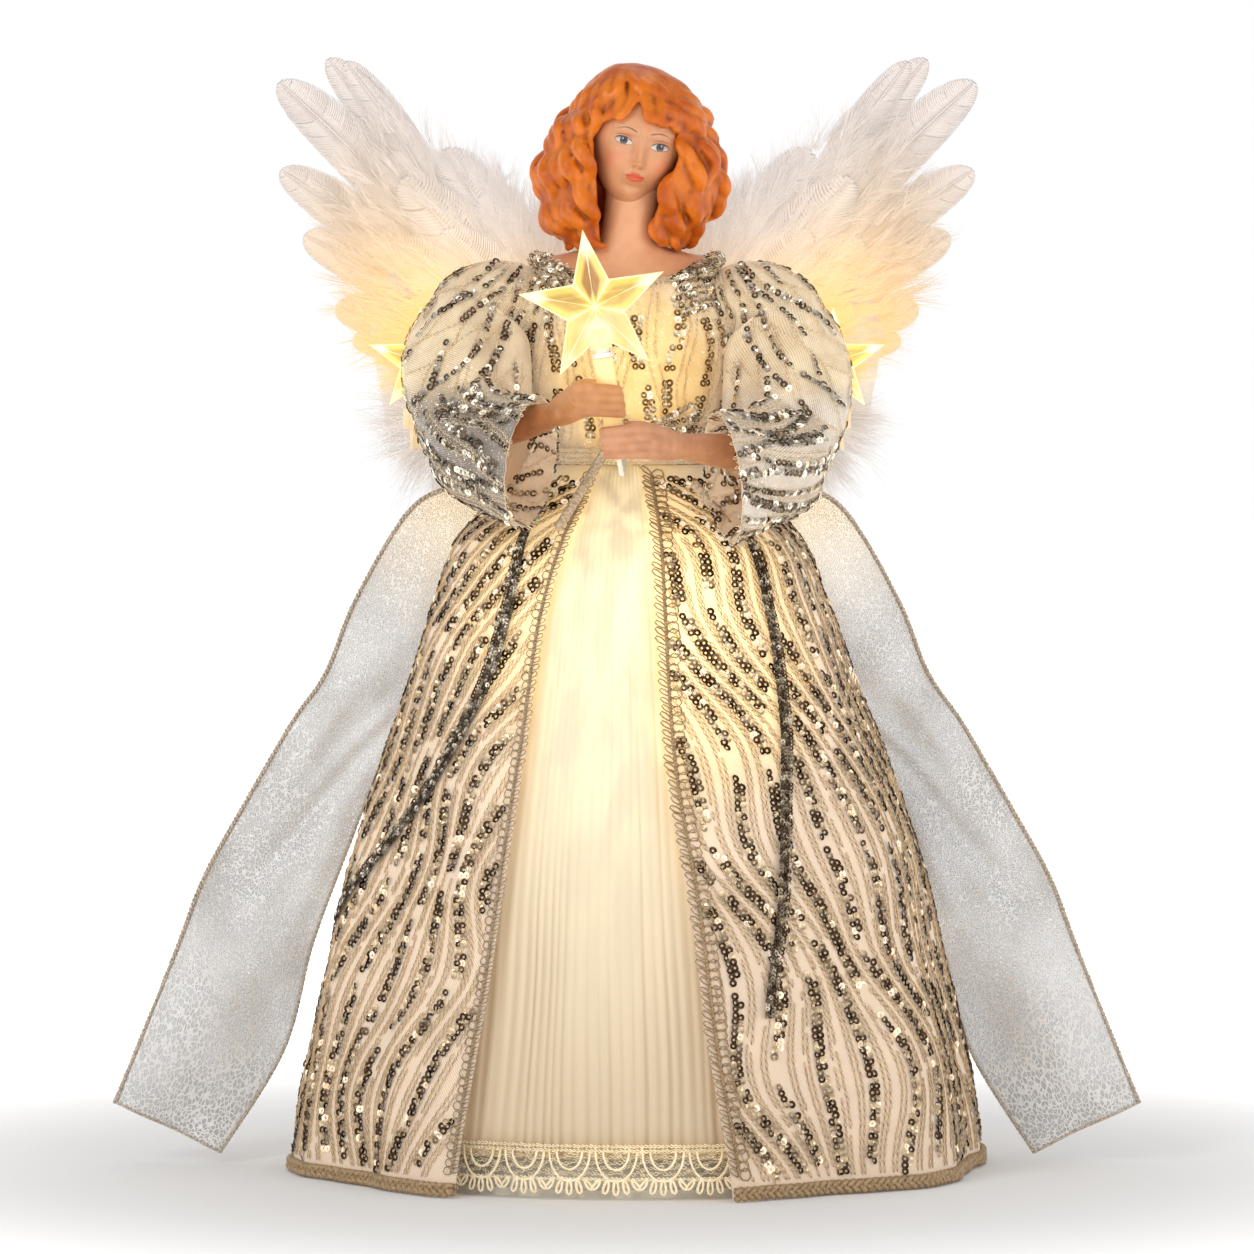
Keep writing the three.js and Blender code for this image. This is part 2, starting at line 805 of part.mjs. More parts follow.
function hair() {
  const place = ([x, y, z]) =>
    new THREE.Vector3(x * headHalfWidth, y * headHalfDepth, z * headHalfHeight).add(headCentre);
  const cap = headFrame(
    ball(
      new THREE.Vector3(0, hairThickness / 2, hairThickness / 2),
      headHalfWidth + hairThickness,
      headHalfDepth + hairThickness,
      headHalfHeight + hairThickness / 2,
      12,
      9,
    ),
  );
  const curls = curlShares.map((entry) => {
    const size = curlRadius * entry[3];
    return ball(place(entry), size, size, size, 8, 6);
  });
  const face = headFrame(
    ball(
      new THREE.Vector3(0, -faceFrontShare * headHalfDepth, -faceDropShare * headHalfHeight),
      faceHalfWidthShare * headHalfWidth,
      headHalfDepth,
      faceHalfHeightShare * headHalfHeight,
      10,
      8,
    ),
  );
  return cut(join(cap, ...curls), bust(seatGap), face, neckTrim(seatGap), bodiceFilled(seatGap));
}

// Cone

const coneRadius = (height) =>
  coneFootRadius - ((coneFootRadius - coneTopRadius) * height) / coneTop;

// The frame of a lamp that stands square on the cone's outer face.
function skirtLampFrame({ degrees, heightShare }) {
  const angle = radians(degrees);
  const height = heightShare * skirtHeight;
  const radius = coneRadius(height);
  const lift = seatGap + flangeRadius ** 2 / (2 * radius);
  const frame = new THREE.Matrix4()
    .makeRotationZ(angle)
    .multiply(new THREE.Matrix4().makeRotationX(Math.PI / 2 - coneSlope));
  const out = new THREE.Vector3(0, 0, 1).transformDirection(frame);
  const seat = new THREE.Vector3(radius * Math.sin(angle), -radius * Math.cos(angle), height);
  return { frame: frame.setPosition(seat.addScaledVector(out, lift)), out, seat };
}

function treeCone() {
  const shell = ringProfile(
    [
      [coneFootRadius + rimWidth / 2, 0],
      [coneFootRadius + rimWidth / 2, rimHeight],
      [coneRadius(rimHeight), rimHeight],
      [coneTopRadius, coneTop],
      [coneTopRadius - coneWall, coneTop],
      [coneRadius(rimHeight) - coneWall, rimHeight],
      [coneFootRadius - rimWidth / 2 - coneWall, rimHeight],
      [coneFootRadius - rimWidth / 2 - coneWall, 0],
    ],
    26,
  );
  const holes = skirtLamps.map((lamp) => {
    const { out, seat } = skirtLampFrame(lamp);
    const reach = socketTail + overrun;
    return bar(
      seat.clone().addScaledVector(out, -reach),
      seat.clone().addScaledVector(out, reach),
      socketRadius + seatGap,
      socketRadius + seatGap,
    );
  });
  return cut(shell, ...holes);
}

// Lamps, in their own frame: the flange's back at height 0, the bulb towards +Z

function lampSocket(radius, tail, flange, nose, cup) {
  const cupRadius = bulbRadius - seatGap;
  return turned([
    [0, -tail],
    [radius, -tail],
    [radius, 0],
    [flange, 0],
    [flange, flangeThickness],
    [radius, flangeThickness],
    [radius, nose],
    [cupRadius, nose],
    [cupRadius, nose - cup],
    [0, nose - cup],
  ], 8);
}

// The bulb's stem stands in the socket's cup, and its glass above it.
function lampBulb(nose, cup) {
  const stem = bulbRadius - 2 * seatGap;
  const shoulder = nose + seatGap;
  const dome = shoulder + bulbLength - bulbRadius;
  return turned([
    [0, nose - cup + seatGap],
    [stem, nose - cup + seatGap],
    [stem, shoulder],
    [bulbRadius, shoulder + seatGap],
    [bulbRadius, dome],
    [bulbRadius * Math.SQRT1_2, dome + bulbRadius * Math.SQRT1_2],
    [0, shoulder + bulbLength],
  ], 8);
}

// A faceted star that faces -Y, with its centre at the origin and a collar under its lower notch.
function star(radius, halfThickness) {
  const notch = radius * starNotchShare;
  const corners = 2 * starPoints;
  const outline = Array.from({ length: corners }, (_, i) => {
    const angle = Math.PI / 2 + (Math.PI * i) / starPoints;
    const reach = i % 2 ? notch : radius;
    return [reach * Math.cos(angle), reach * Math.sin(angle)];
  });
  const points = [-1, 1].flatMap((face) => [
    ...outline.map(([x, z]) => new THREE.Vector3(x, (face * starEdge) / 2, z)),
    new THREE.Vector3(0, face * halfThickness, 0),
  ]);
  const back = corners + 1;
  const triangles = outline.flatMap((_, i) => {
    const next = (i + 1) % corners;
    return [
      [corners, i, next],
      [back + corners, back + next, back + i],
      [i, back + i, back + next],
      [i, back + next, next],
    ];
  });
  const bore = bulbRadius + 2 * seatGap;
  const foot = -notch - starCollarLength;
  const axis = (height) => new THREE.Vector3(0, 0, height);
  const collar = bore + starCollarWall;
  return cut(
    join(body(points, triangles), bar(axis(foot), axis(-notch / 2), collar, collar)),
    bar(axis(foot - overrun), axis(foot + bulbLength + overrun), bore, bore),
  );
}

const starSeat = (radius) => radius * starNotchShare + starCollarLength;

// Candle

const candlePoint = (height) => candleFoot.clone().addScaledVector(candleUp, height);

function candleTube() {
  return ringProfile(
    [
      [candleRadius, 0],
      [candleRadius, candleLength],
      [candleRadius - candleWall, candleLength],
      [candleRadius - candleWall, 0],
    ],
    12,
  );
}

const candleCore = (grow) =>
  bar(
    candlePoint(-overrun),
    candlePoint(candleLength + overrun),
    candleRadius + grow,
    candleRadius + grow,
  );

// Arms

const shoulderOf = ({ side }) =>
  new THREE.Vector3(side * armholeReach, -armholeForward, skirtHeight + armholeRise);

const elbowOf = ({ side, elbowDrop }) =>
  shoulderOf({ side }).add(new THREE.Vector3(side * elbowReach, -elbowForward, -elbowDrop));

const wristOf = ({ side, wristReach, wristBack, wristRise }) =>
  candleFoot.clone().add(new THREE.Vector3(side * wristReach, wristBack, wristRise));

function armWire(grow) {
  const half = (arm) => {
    const elbow = elbowOf(arm);
    const shoulder = shoulderOf(arm);
    const axis = wristOf(arm).sub(elbow).normalize();
    const bend = shoulder.clone().lerp(elbow, armWireBendShare).setX(elbow.x);
    return [
      elbow.clone().addScaledVector(axis, armWireInsert),
      elbow,
      elbow.clone().addScaledVector(axis, -armWireInsert),
      bend,
      shoulder.setZ(shoulder.z - armWireInsert),
    ];
  };
  return tube([...half(arms[0]), ...half(arms[1]).reverse()], armWireRadius + grow, 22, 6);
}

function forearm(arm) {
  const grip = candlePoint(arm.gripRise);
  const along = new THREE.Vector3(arm.side, 0, 0);
  const palm = grip.clone().addScaledVector(along, palmHalfLength);
  palm.y += candleRadius;
  const pieces = [
    bar(elbowOf(arm), wristOf(arm), forearmRadius, wristRadius, 10),
    bar(wristOf(arm), palm, wristRadius, palmHalfThickness, 10),
    ball(palm, palmHalfLength, palmHalfThickness, palmHalfHeight, 10, 6),
  ];
  const front = grip.y - candleRadius - fingerRadius;
  for (let i = 0; i < fingerCount; i++) {
    const height = grip.z + (i - (fingerCount - 1) / 2) * fingerPitch;
    const knuckle = new THREE.Vector3(palm.x, front + fingerRadius, height);
    const tip = new THREE.Vector3(grip.x - arm.side * fingerRadius, front, height);
    pieces.push(capsule(knuckle, tip, fingerRadius));
  }
  const thumbFoot = new THREE.Vector3(palm.x, grip.y + candleRadius + fingerRadius, grip.z);
  const thumbTip = thumbFoot.clone().addScaledVector(along, -fingerLength);
  pieces.push(capsule(thumbFoot, thumbTip, fingerRadius));
  return cut(join(...pieces), candleCore(seatGap), armWire(seatGap));
}

// Sleeve: rings square to a path that leaves the shoulder, bends at the elbow and ends in the cuff

function sleeve(arm) {
  const upper = upperSleeveShares.map(([out, forward, down]) =>
    shoulderOf(arm).add(
      new THREE.Vector3(
        arm.side * out * elbowReach,
        -forward * elbowForward,
        -down * arm.elbowDrop,
      ),
    ));
  const cuff = cuffPathShares.map(([way, sag, size]) => {
    const share = way * arm.cuffShare;
    const armRadius = THREE.MathUtils.lerp(forearmRadius, wristRadius, share);
    const room = size * puffRadius - clothWall - armRadius - armClearance;
    const centre = elbowOf(arm).lerp(wristOf(arm), share);
    return centre.setZ(centre.z - sag * arm.cuffSagShare * room);
  });
  const path = new THREE.CatmullRomCurve3([...upper, ...cuff]);
  const sizes = [...upperSleeveShares, ...cuffPathShares].map((entry) => entry[entry.length - 1]);
  const rings = (depth) =>
    evenShares(sleeveRings + 1).map((share) => {
      const centre = path.getPoint(share);
      const ahead = path.getTangent(share);
      const across = new THREE.Vector3(0, 0, 1).cross(ahead).normalize();
      const over = ahead.clone().cross(across);
      const size = puffRadius * along(sizes, share);
      return Array.from({ length: sleeveColumns }, (_, c) => {
        const turn = (2 * Math.PI * c) / sleeveColumns;
        const fold = 1 + puffFoldShare * Math.sin(Math.PI * share) * Math.sin(puffFoldCount * turn);
        return centre
          .clone()
          .addScaledVector(across, (size * fold - depth) * Math.cos(turn))
          .addScaledVector(over, (size * fold - depth) * Math.sin(turn));
      });
    });
  return cut(
    wall(rings(0), rings(clothWall), true),
    bodiceFilled(seatGap),
    neckTrim(seatGap),
    armWire(seatGap),
  );
}

// Bracket

const bracketPegHeight = bracketFoot + bracketHeight / 2;

function bracketPeg(grow) {
  return bar(
    new THREE.Vector3(0, bracketFront - bracketPegLength - grow, bracketPegHeight),
    new THREE.Vector3(0, bracketFront + bracketThickness / 2, bracketPegHeight),
    bracketPegRadius + grow,
    bracketPegRadius + grow,
  );
}

// A block between two distances from the middle, on one side of it.
function sideBlock(side, near, far, ...rest) {
  return side < 0 ? block(-far, -near, ...rest) : block(near, far, ...rest);
}

function wingBracket() {
  const upright = (x, y, low, high, radius, sides) =>
    bar(new THREE.Vector3(x, y, low), new THREE.Vector3(x, y, high), radius, radius, sides);
  const depth = [bracketFront, bracketBack];
  const pieces = [
    block(-bracketHalfWidth, bracketHalfWidth, ...depth, bracketFoot, bracketTop),
    bracketPeg(0),
  ];
  const holes = [];
  const armTop = bracketFoot + armHeight;
  for (const side of [-1, 1]) {
    const arm = [bracketHalfWidth - overrun, sideLampReach];
    pieces.push(sideBlock(side, ...arm, ...depth, bracketFoot, armTop));
    const clip = [side * sideLampReach, sideLampBack];
    const bore = socketRadius + seatGap;
    pieces.push(upright(...clip, bracketFoot, armTop, bore + clipWall, 16));
    holes.push(upright(...clip, bracketFoot - overrun, armTop + overrun, bore));
    const ear = [postReach - earHalfWidth, postReach + earHalfWidth];
    for (const foot of [bracketFoot, bracketTop - earHeight]) {
      const back = postBack + earHalfWidth;
      pieces.push(sideBlock(side, ...ear, bracketFront + seatGap, back, foot, foot + earHeight));
    }
    const inEar = earHeight / 2;
    const post = [bracketFoot + inEar, bracketTop - inEar, postRadius];
    pieces.push(upright(side * postReach, postBack, ...post));
  }
  return cut(join(...pieces), ...holes);
}

// Wings are built about their post, as the right wing; the left one is the mirror image.

const wingOutline = (shares) => shares.map(([x, z]) => [x * wingSpan, z * wingRise]);

function wingCard() {
  const barrelRadius = postRadius + seatGap + barrelWall;
  const foot = bracketFoot + earHeight + seatGap - wingRoot;
  const top = bracketTop - earHeight - seatGap - wingRoot;
  const barrel = bar(
    new THREE.Vector3(0, 0, foot),
    new THREE.Vector3(0, 0, top),
    barrelRadius,
    barrelRadius,
    14,
  );
  const bore = bar(
    new THREE.Vector3(0, 0, foot - overrun),
    new THREE.Vector3(0, 0, top + overrun),
    postRadius + seatGap,
    postRadius + seatGap,
  );
  const lead = block(0, leadShare * wingSpan, 0, cardThickness, foot, top);
  const card = plate(wingOutline(cardShares), cardThickness, 0);
  const earCorner = Math.hypot(earHalfWidth, earHalfWidth);
  const notch = block(
    -wingSpan,
    earCorner + seatGap,
    -postBack,
    postBack,
    top + seatGap,
    wingRise,
  );
  const underNotch = block(
    -wingSpan,
    earCorner + seatGap,
    -postBack,
    postBack,
    -wingRise,
    foot - seatGap,
  );
  return cut(join(cut(card, notch, underNotch), lead, barrel), bore);
}

function feather([rootX, rootZ, tipX, tipZ, width], layer) {
  const root = new THREE.Vector2(rootX * wingSpan, rootZ * wingRise);
  const tip = new THREE.Vector2(tipX * wingSpan, tipZ * wingRise);
  const quill = tip.clone().sub(root);
  const across = new THREE.Vector2(-quill.y, quill.x).normalize();
  const edge = (side) =>
    vaneShares.map(([share, half]) =>
      root
        .clone()
        .addScaledVector(quill, share)
        .addScaledVector(across, side * half * width * featherHalfWidth),
    );
  const outline = [...edge(-1), tip, ...edge(1).reverse()].map((p) => [p.x, p.y]);
  const front = cardThickness + seatGap + layer * (featherThickness + seatGap);
  return plate(outline, featherThickness, front);
}

const down = (shares) =>
  plate(wingOutline(shares), downThickness, -seatGap - downThickness, downBevel);

// Ribbons

const knotBack = waistHalfDepth + 2 * seatGap + waistbandThickness + knotRadius;
const knotCentre = new THREE.Vector3(0, knotBack, skirtHeight + knotRise);

function ribbonKnot() {
  return ball(knotCentre, knotRadius, knotRadius, knotRadius, 12, 8);
}

function ribbon(side) {
  const column = (index) => ribbonShares.map((entry) => entry[index]);
  const top = knotCentre.z + knotRadius / 2;
  const grids = (depth) =>
    grid(evenShares(ribbonRows + 1), ribbonColumns + 1, false, (row, across) => {
      const [outX, outZ, inX, inZ, back] = [0, 1, 2, 3, 4].map((i) => along(column(i), row));
      const x = knotRadius + seatGap + THREE.MathUtils.lerp(outX, inX, across) * ribbonReach;
      const z = top - THREE.MathUtils.lerp(outZ, inZ, across) * (top - ribbonLift);
      const wave = ribbonWave * row * Math.sin(ribbonWaves * Math.PI * (row + across / 2));
      return new THREE.Vector3(side * x, knotCentre.y + back * ribbonSway + wave + depth, z);
    });
  return wall(grids(0), grids(ribbonWall), false);
}

// Light string: a trunk past the tails of the skirt lamps and up the bore, and a branch to each star

function lightString(grow) {
  const radius = wireRadius + grow;
  const behind = (lamp) => {
    const { frame, out } = skirtLampFrame(lamp);
    const spot = new THREE.Vector3().setFromMatrixPosition(frame);
    return spot.addScaledVector(out, -socketTail - seatGap - 2 * wireRadius);
  };
  const onWall = (degrees, height) => {
    const reach = coneRadius(height) - coneWall - socketTail;
    return new THREE.Vector3(
      reach * Math.sin(radians(degrees)),
      -reach * Math.cos(radians(degrees)),
      height,
    );
  };
  const [high, middle, back, low] = skirtLamps;
  const lampHeight = (lamp) => lamp.heightShare * skirtHeight;
  const between = (a, b) => (lampHeight(a) + lampHeight(b)) / 2;
  const axis = (height) => new THREE.Vector3(0, 0, height);
  const trunk = tube(
    [
      behind(low),
      onWall(180, between(low, back)),
      behind(back),
      onWall((back.degrees + middle.degrees) / 2, between(back, middle)),
      behind(middle),
      behind(high),
      axis(coneTop - plugLength),
      axis(coneTop + plugLength),
      axis(bracketFoot),
    ],
    radius,
    20,
    wireSides,
  );
  const foot = candlePoint(-seatGap - grow);
  const under = candlePoint(-candleRadius);
  const front = new THREE.Vector3(0, -waistHalfDepth - candleRadius, bracketFoot - overrun);
  const toCandle = tube(
    [
      foot,
      under,
      under.clone().lerp(front, wireSlackShare).setZ(under.z - overrun),
      front,
      axis(bracketFoot - overrun),
    ],
    radius,
    9,
    wireSides,
  );
  const toSides = [-1, 1].map((side) => {
    const end = sideLampSeat - armHeight - socketTail;
    const tail = new THREE.Vector3(side * sideLampReach, sideLampBack, end - seatGap - grow);
    return tube(
      [
        tail,
        tail.clone().add(new THREE.Vector3(0, 0, -socketTail / 2)),
        new THREE.Vector3((side * (sideLampReach + waistHalfWidth)) / 2, sideLampBack, end - overrun),
        new THREE.Vector3(side * waistHalfWidth, sideLampBack - overrun, bracketFoot - 2 * overrun),
        axis(bracketFoot - overrun),
      ],
      radius,
      7,
      wireSides,
    );
  });
  return join(trunk, toCandle, ...toSides);
}

// The assembly

const group = new THREE.Group();

function add(name, geometry, look, parent = group) {
  const mesh = new THREE.Mesh(geometry, new THREE.MeshStandardMaterial(look));
  mesh.name = name;
  parent.add(mesh);
  return mesh;
}

add("tree_cone", treeCone(), finish.cone);
add("torso_core", torsoCore(), finish.cone);
add("bust", bust(0), finish.skin);
add("hair", hair(), finish.hair);
add("arm_wire", armWire(0), finish.steel);
add("light_string", lightString(0), finish.wire);
add("bodice", bodice(), finish.robe);
add("neckline_trim", neckTrim(0), finish.sequin);
add("waistband", waistband(), finish.robe);
add("robe_skirt", robeSkirt(), finish.robe);
add("robe_hem_braid", hemBraid(), finish.braid);
add("pleated_underskirt", underskirt(), finish.satin);
add("lace_hem", laceHem(), finish.satin);
add("wing_bracket", wingBracket(), finish.bracket);
add("ribbon_knot", ribbonKnot(), finish.ribbon);

const sides = { left: -1, right: 1 };
for (const [side, sign] of Object.entries(sides)) {
  add(`${side}_front_braid`, frontBraid(sign < 0), finish.braid);
  add(`${side}_ribbon`, ribbon(sign), finish.ribbon);
  const arm = arms.find((entry) => entry.side === sign);
  add(`${side}_sleeve`, sleeve(arm), finish.robe);
  add(`${side}_forearm`, forearm(arm), finish.skin);
}
add("left_sash_tail", sashTail(leftTailDegrees, leftTailEndShare), finish.sequin);
add("right_sash_tail", sashTail(rightTailDegrees, rightTailEndShare), finish.sequin);

// Candle in both hands, with its lamp and star
const candle = new THREE.Group();
candle.position.copy(candleFoot);
candle.rotation.y = -radians(candleTiltDegrees);
group.add(candle);
add("candle_tube", candleTube(), finish.cone, candle);
const innerRadius = candleRadius - candleWall - seatGap;
const starLamp = new THREE.Group();
starLamp.position.z = candleLength + seatGap;
candle.add(starLamp);
add(
  "star_socket",
  lampSocket(innerRadius, innerSocketLength, candleRadius, 2 * flangeThickness, innerCupDepth),
  finish.bracket,
  starLamp,
);
add("star_bulb", lampBulb(2 * flangeThickness, innerCupDepth), finish.glow, starLamp);
const handStar = add("hand_star", star(starRadius, starHalfThickness), finish.glow, starLamp);
handStar.position.z = 2 * flangeThickness + seatGap + starSeat(starRadius);

// Lamps behind the sleeves, with their stars
for (const [side, sign] of Object.entries(sides)) {
  const lamp = new THREE.Group();
  lamp.position.set(sign * sideLampReach, sideLampBack, sideLampSeat);
  group.add(lamp);
  add(
    `${side}_side_socket`,
    lampSocket(socketRadius, armHeight + socketTail, flangeRadius, socketNose, cupDepth),
    finish.bracket,
    lamp,
  );
  add(`${side}_side_bulb`, lampBulb(socketNose, cupDepth), finish.glow, lamp);
  const sideStar = star(sideStarRadius, sideStarHalfThickness);
  const mesh = add(`${side}_side_star`, sideStar, finish.glow, lamp);
  mesh.position.z = socketNose + seatGap + starSeat(sideStarRadius);
}

// Lamps clipped through the cone's wall
skirtLamps.forEach((place, i) => {
  const lamp = new THREE.Group();
  skirtLampFrame(place).frame.decompose(lamp.position, lamp.quaternion, lamp.scale);
  group.add(lamp);
  const socket = lampSocket(socketRadius, socketTail, flangeRadius, socketNose, cupDepth);
  add(`skirt_socket_${i + 1}`, socket, finish.bracket, lamp);
  add(`skirt_bulb_${i + 1}`, lampBulb(socketNose, cupDepth), finish.glow, lamp);
});

// Wings on their posts
for (const [side, sign] of Object.entries(sides)) {
  const wing = new THREE.Group();
  wing.position.set(sign * postReach, postBack, wingRoot);
  wing.rotation.z = sign * radians(wingSweepDegrees);
  wing.scale.x = sign;
  group.add(wing);
  add(`${side}_wing_card`, wingCard(), finish.bracket, wing);
  add(`${side}_wing_down`, down(downShares), finish.feather, wing);
  add(`${side}_wing_tuft`, down(tuftShares), finish.feather, wing);
  featherShares.forEach((entry, i) =>
    add(`${side}_feather_${i + 1}`, feather(entry, i), finish.feather, wing));
}

export default group;
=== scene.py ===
import json
import math

import bmesh
import bpy
import numpy as np
from bpy.props import FloatProperty, FloatVectorProperty, IntProperty, PointerProperty
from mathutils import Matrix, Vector


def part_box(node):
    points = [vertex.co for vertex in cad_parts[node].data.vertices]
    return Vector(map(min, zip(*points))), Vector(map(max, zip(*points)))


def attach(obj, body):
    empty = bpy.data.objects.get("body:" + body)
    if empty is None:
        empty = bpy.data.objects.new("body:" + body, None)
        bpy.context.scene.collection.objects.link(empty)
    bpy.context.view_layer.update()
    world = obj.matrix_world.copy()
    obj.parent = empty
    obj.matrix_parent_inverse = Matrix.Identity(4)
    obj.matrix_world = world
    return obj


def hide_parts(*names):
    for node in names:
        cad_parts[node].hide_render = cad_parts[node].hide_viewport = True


bl_info = {
    "name": "Angel tree topper",
    "version": (1, 0, 0),
    "blender": (4, 5, 0),
    "location": "View3D > Sidebar > Angel",
    "description": "Dresses the angel tree topper: gown, hair, hands, wings, ribbons, stars and studio",
    "category": "Object",
}

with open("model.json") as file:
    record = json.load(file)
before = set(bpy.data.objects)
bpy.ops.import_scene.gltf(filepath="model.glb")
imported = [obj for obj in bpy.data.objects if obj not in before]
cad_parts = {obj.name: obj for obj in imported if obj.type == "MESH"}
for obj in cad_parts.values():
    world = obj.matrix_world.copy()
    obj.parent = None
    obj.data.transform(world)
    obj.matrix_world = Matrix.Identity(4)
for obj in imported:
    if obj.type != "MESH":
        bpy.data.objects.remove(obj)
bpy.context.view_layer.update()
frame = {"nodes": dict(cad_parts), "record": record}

# Sizes shared by several pieces, in metres, with the frame's own where it gives them
MM = 0.001
SKIRT_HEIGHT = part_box("robe_skirt")[1].z
ROBE_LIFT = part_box("robe_skirt")[0].z
WAIST_HALF = (36 * MM, 27 * MM)
SKIRT_HALF = (125 * MM, 113 * MM)
SKIRT_SWING = 4.5 * MM
FOLD_DEPTH = 3.6 * MM
FOLD_COUNT = 8
# How far the skirt spreads, and where its front edges lie, at even heights from the hem to the waist
FLARE_SHARES = [1, 0.97, 0.915, 0.85, 0.79, 0.705, 0.607, 0.5, 0.405, 0.285, 0]
LEFT_EDGE_DEGREES = [31, 29, 27, 26, 25, 17]
RIGHT_EDGE_DEGREES = [15, 12, 10, 7, 7, 8]
CLOTH = 0.5 * MM
SIDES = ((-1, "left"), (1, "right"))


def middle(node):
    low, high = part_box(node)
    return (low + high) / 2


# Points and meshes

def mm(*values):
    return np.array(values) * MM


def tint(red, green, blue):
    """A screen colour, 0 to 255, as linear light."""
    shares = np.array([red, green, blue]) / 255
    linear = np.where(shares <= 0.04045, shares / 12.92, ((shares + 0.055) / 1.055) ** 2.4)
    return tuple(float(x) for x in linear)


def spline(values, share):
    """Points at shares of the way along a smooth curve through evenly spaced values."""
    values = np.asarray(values, float)
    last = len(values) - 1
    place = np.clip(np.asarray(share, float), 0, 1) * last
    i = np.minimum(place.astype(int), last - 1)
    t = place - i
    if values.ndim > 1:
        t = t[..., None]
    p0, p1 = values[np.maximum(i - 1, 0)], values[i]
    p2, p3 = values[i + 1], values[np.minimum(i + 2, last)]
    a, b = (p2 - p0) / 2, (p3 - p1) / 2
    return (2 * p1 - 2 * p2 + a + b) * t**3 + (3 * p2 - 3 * p1 - 2 * a - b) * t**2 + a * t + p1


def smooth(share):
    share = np.clip(share, 0, 1)
    return share * share * (3 - 2 * share)


def unit(vectors):
    return vectors / np.maximum(np.linalg.norm(vectors, axis=-1, keepdims=True), 1e-12)


def blend(base, colour, mask):
    return base * (1 - mask[..., None]) + np.array(colour) * mask[..., None]


def rotated(points, angle, first=0, second=2):
    """Points turned by an angle, from their first axis towards their second."""
    points = np.array(points, float)
    c, s = math.cos(angle), math.sin(angle)
    a, b = points[..., first].copy(), points[..., second].copy()
    points[..., first] = a * c - b * s
    points[..., second] = a * s + b * c
    return points


def grid_faces(rows, columns, ring=False):
    row = np.arange(rows - 1)[:, None] * columns
    column = np.arange(columns if ring else columns - 1)[None, :]
    following = (column + 1) % columns
    corners = [row + column, row + following, row + columns + following, row + columns + column]
    return np.stack(corners, -1).reshape(-1, 4)


def grid_normals(points, ring=False):
    down = np.gradient(points, axis=0)
    if ring:
        across = (np.roll(points, -1, 1) - np.roll(points, 1, 1)) / 2
    else:
        across = np.gradient(points, axis=1)
    return unit(np.cross(across, down))


def new_object(name, mesh, material):
    piece = bpy.data.objects.new(name, mesh)
    bpy.context.scene.collection.objects.link(piece)
    if material is not None:
        mesh.materials.append(material)
    return piece


def solid(name, points, faces, material, flat=False, **values):
    """A mesh object from points and faces, with per-point values as attributes."""
    mesh = bpy.data.meshes.new(name)
    mesh.from_pydata(np.asarray(points, float).reshape(-1, 3).tolist(), [], [tuple(f) for f in faces])
    mesh.update()
    mesh.polygons.foreach_set("use_smooth", [not flat] * len(mesh.polygons))
    for key, value in values.items():
        value = np.asarray(value, np.float32)
        if value.ndim == 1:
            mesh.attributes.new(key, "FLOAT", "POINT").data.foreach_set("value", value)
        else:
            colours = np.concatenate([value, np.ones((len(value), 1), np.float32)], 1)
            mesh.attributes.new(key, "FLOAT_COLOR", "POINT").data.foreach_set("color", colours.ravel())
    return new_object(name, mesh, material)


def cloth(name, outer, material, ring=False, wall=CLOTH, size=(1.0, 1.0), **values):
    """A closed cloth wall from a grid of points on its outer side, with a UV map in metres."""
    rows, columns, _ = outer.shape
    inner = outer - grid_normals(outer, ring) * wall
    count = rows * columns
    face = grid_faces(rows, columns, ring)
    span = np.arange(columns if ring else columns - 1)
    ahead = (span + 1) % columns
    last = (rows - 1) * columns
    rims = [
        np.stack([ahead, span, span + count, ahead + count], -1),
        np.stack([last + span, last + ahead, last + ahead + count, last + span + count], -1),
    ]
    if not ring:
        side = np.arange(rows - 1) * columns
        step = side + columns
        end = columns - 1
        rims.append(np.stack([side, step, step + count, side + count], -1))
        rims.append(np.stack([step + end, side + end, side + end + count, step + end + count], -1))
    faces = np.concatenate([face, face[:, ::-1] + count, *rims])
    points = np.concatenate([outer.reshape(-1, 3), inner.reshape(-1, 3)])
    doubled = {k: np.concatenate([np.asarray(v).reshape(count, -1)] * 2).squeeze() for k, v in values.items()}
    piece = solid(name, points, faces, material, **doubled)
    u = np.stack([face[:, 0] % columns, face[:, 0] % columns + 1], -1) / span.size * size[0]
    v = np.stack([face[:, 0] // columns, face[:, 0] // columns + 1], -1) / (rows - 1) * size[1]
    front = np.stack([u[:, [0, 1, 1, 0]], v[:, [0, 0, 1, 1]]], -1)
    edge = np.zeros((sum(len(r) for r in rims), 4, 2))
    layer = piece.data.uv_layers.new(name="Cloth")
    layer.data.foreach_set("uv", np.concatenate([front, front[:, ::-1], edge]).ravel())
    return piece


def capped_faces(rows, columns):
    """Faces of a closed body made of rings."""
    caps = [list(range(columns))[::-1], list(range((rows - 1) * columns, rows * columns))]
    return [*grid_faces(rows, columns, ring=True).tolist(), *caps]


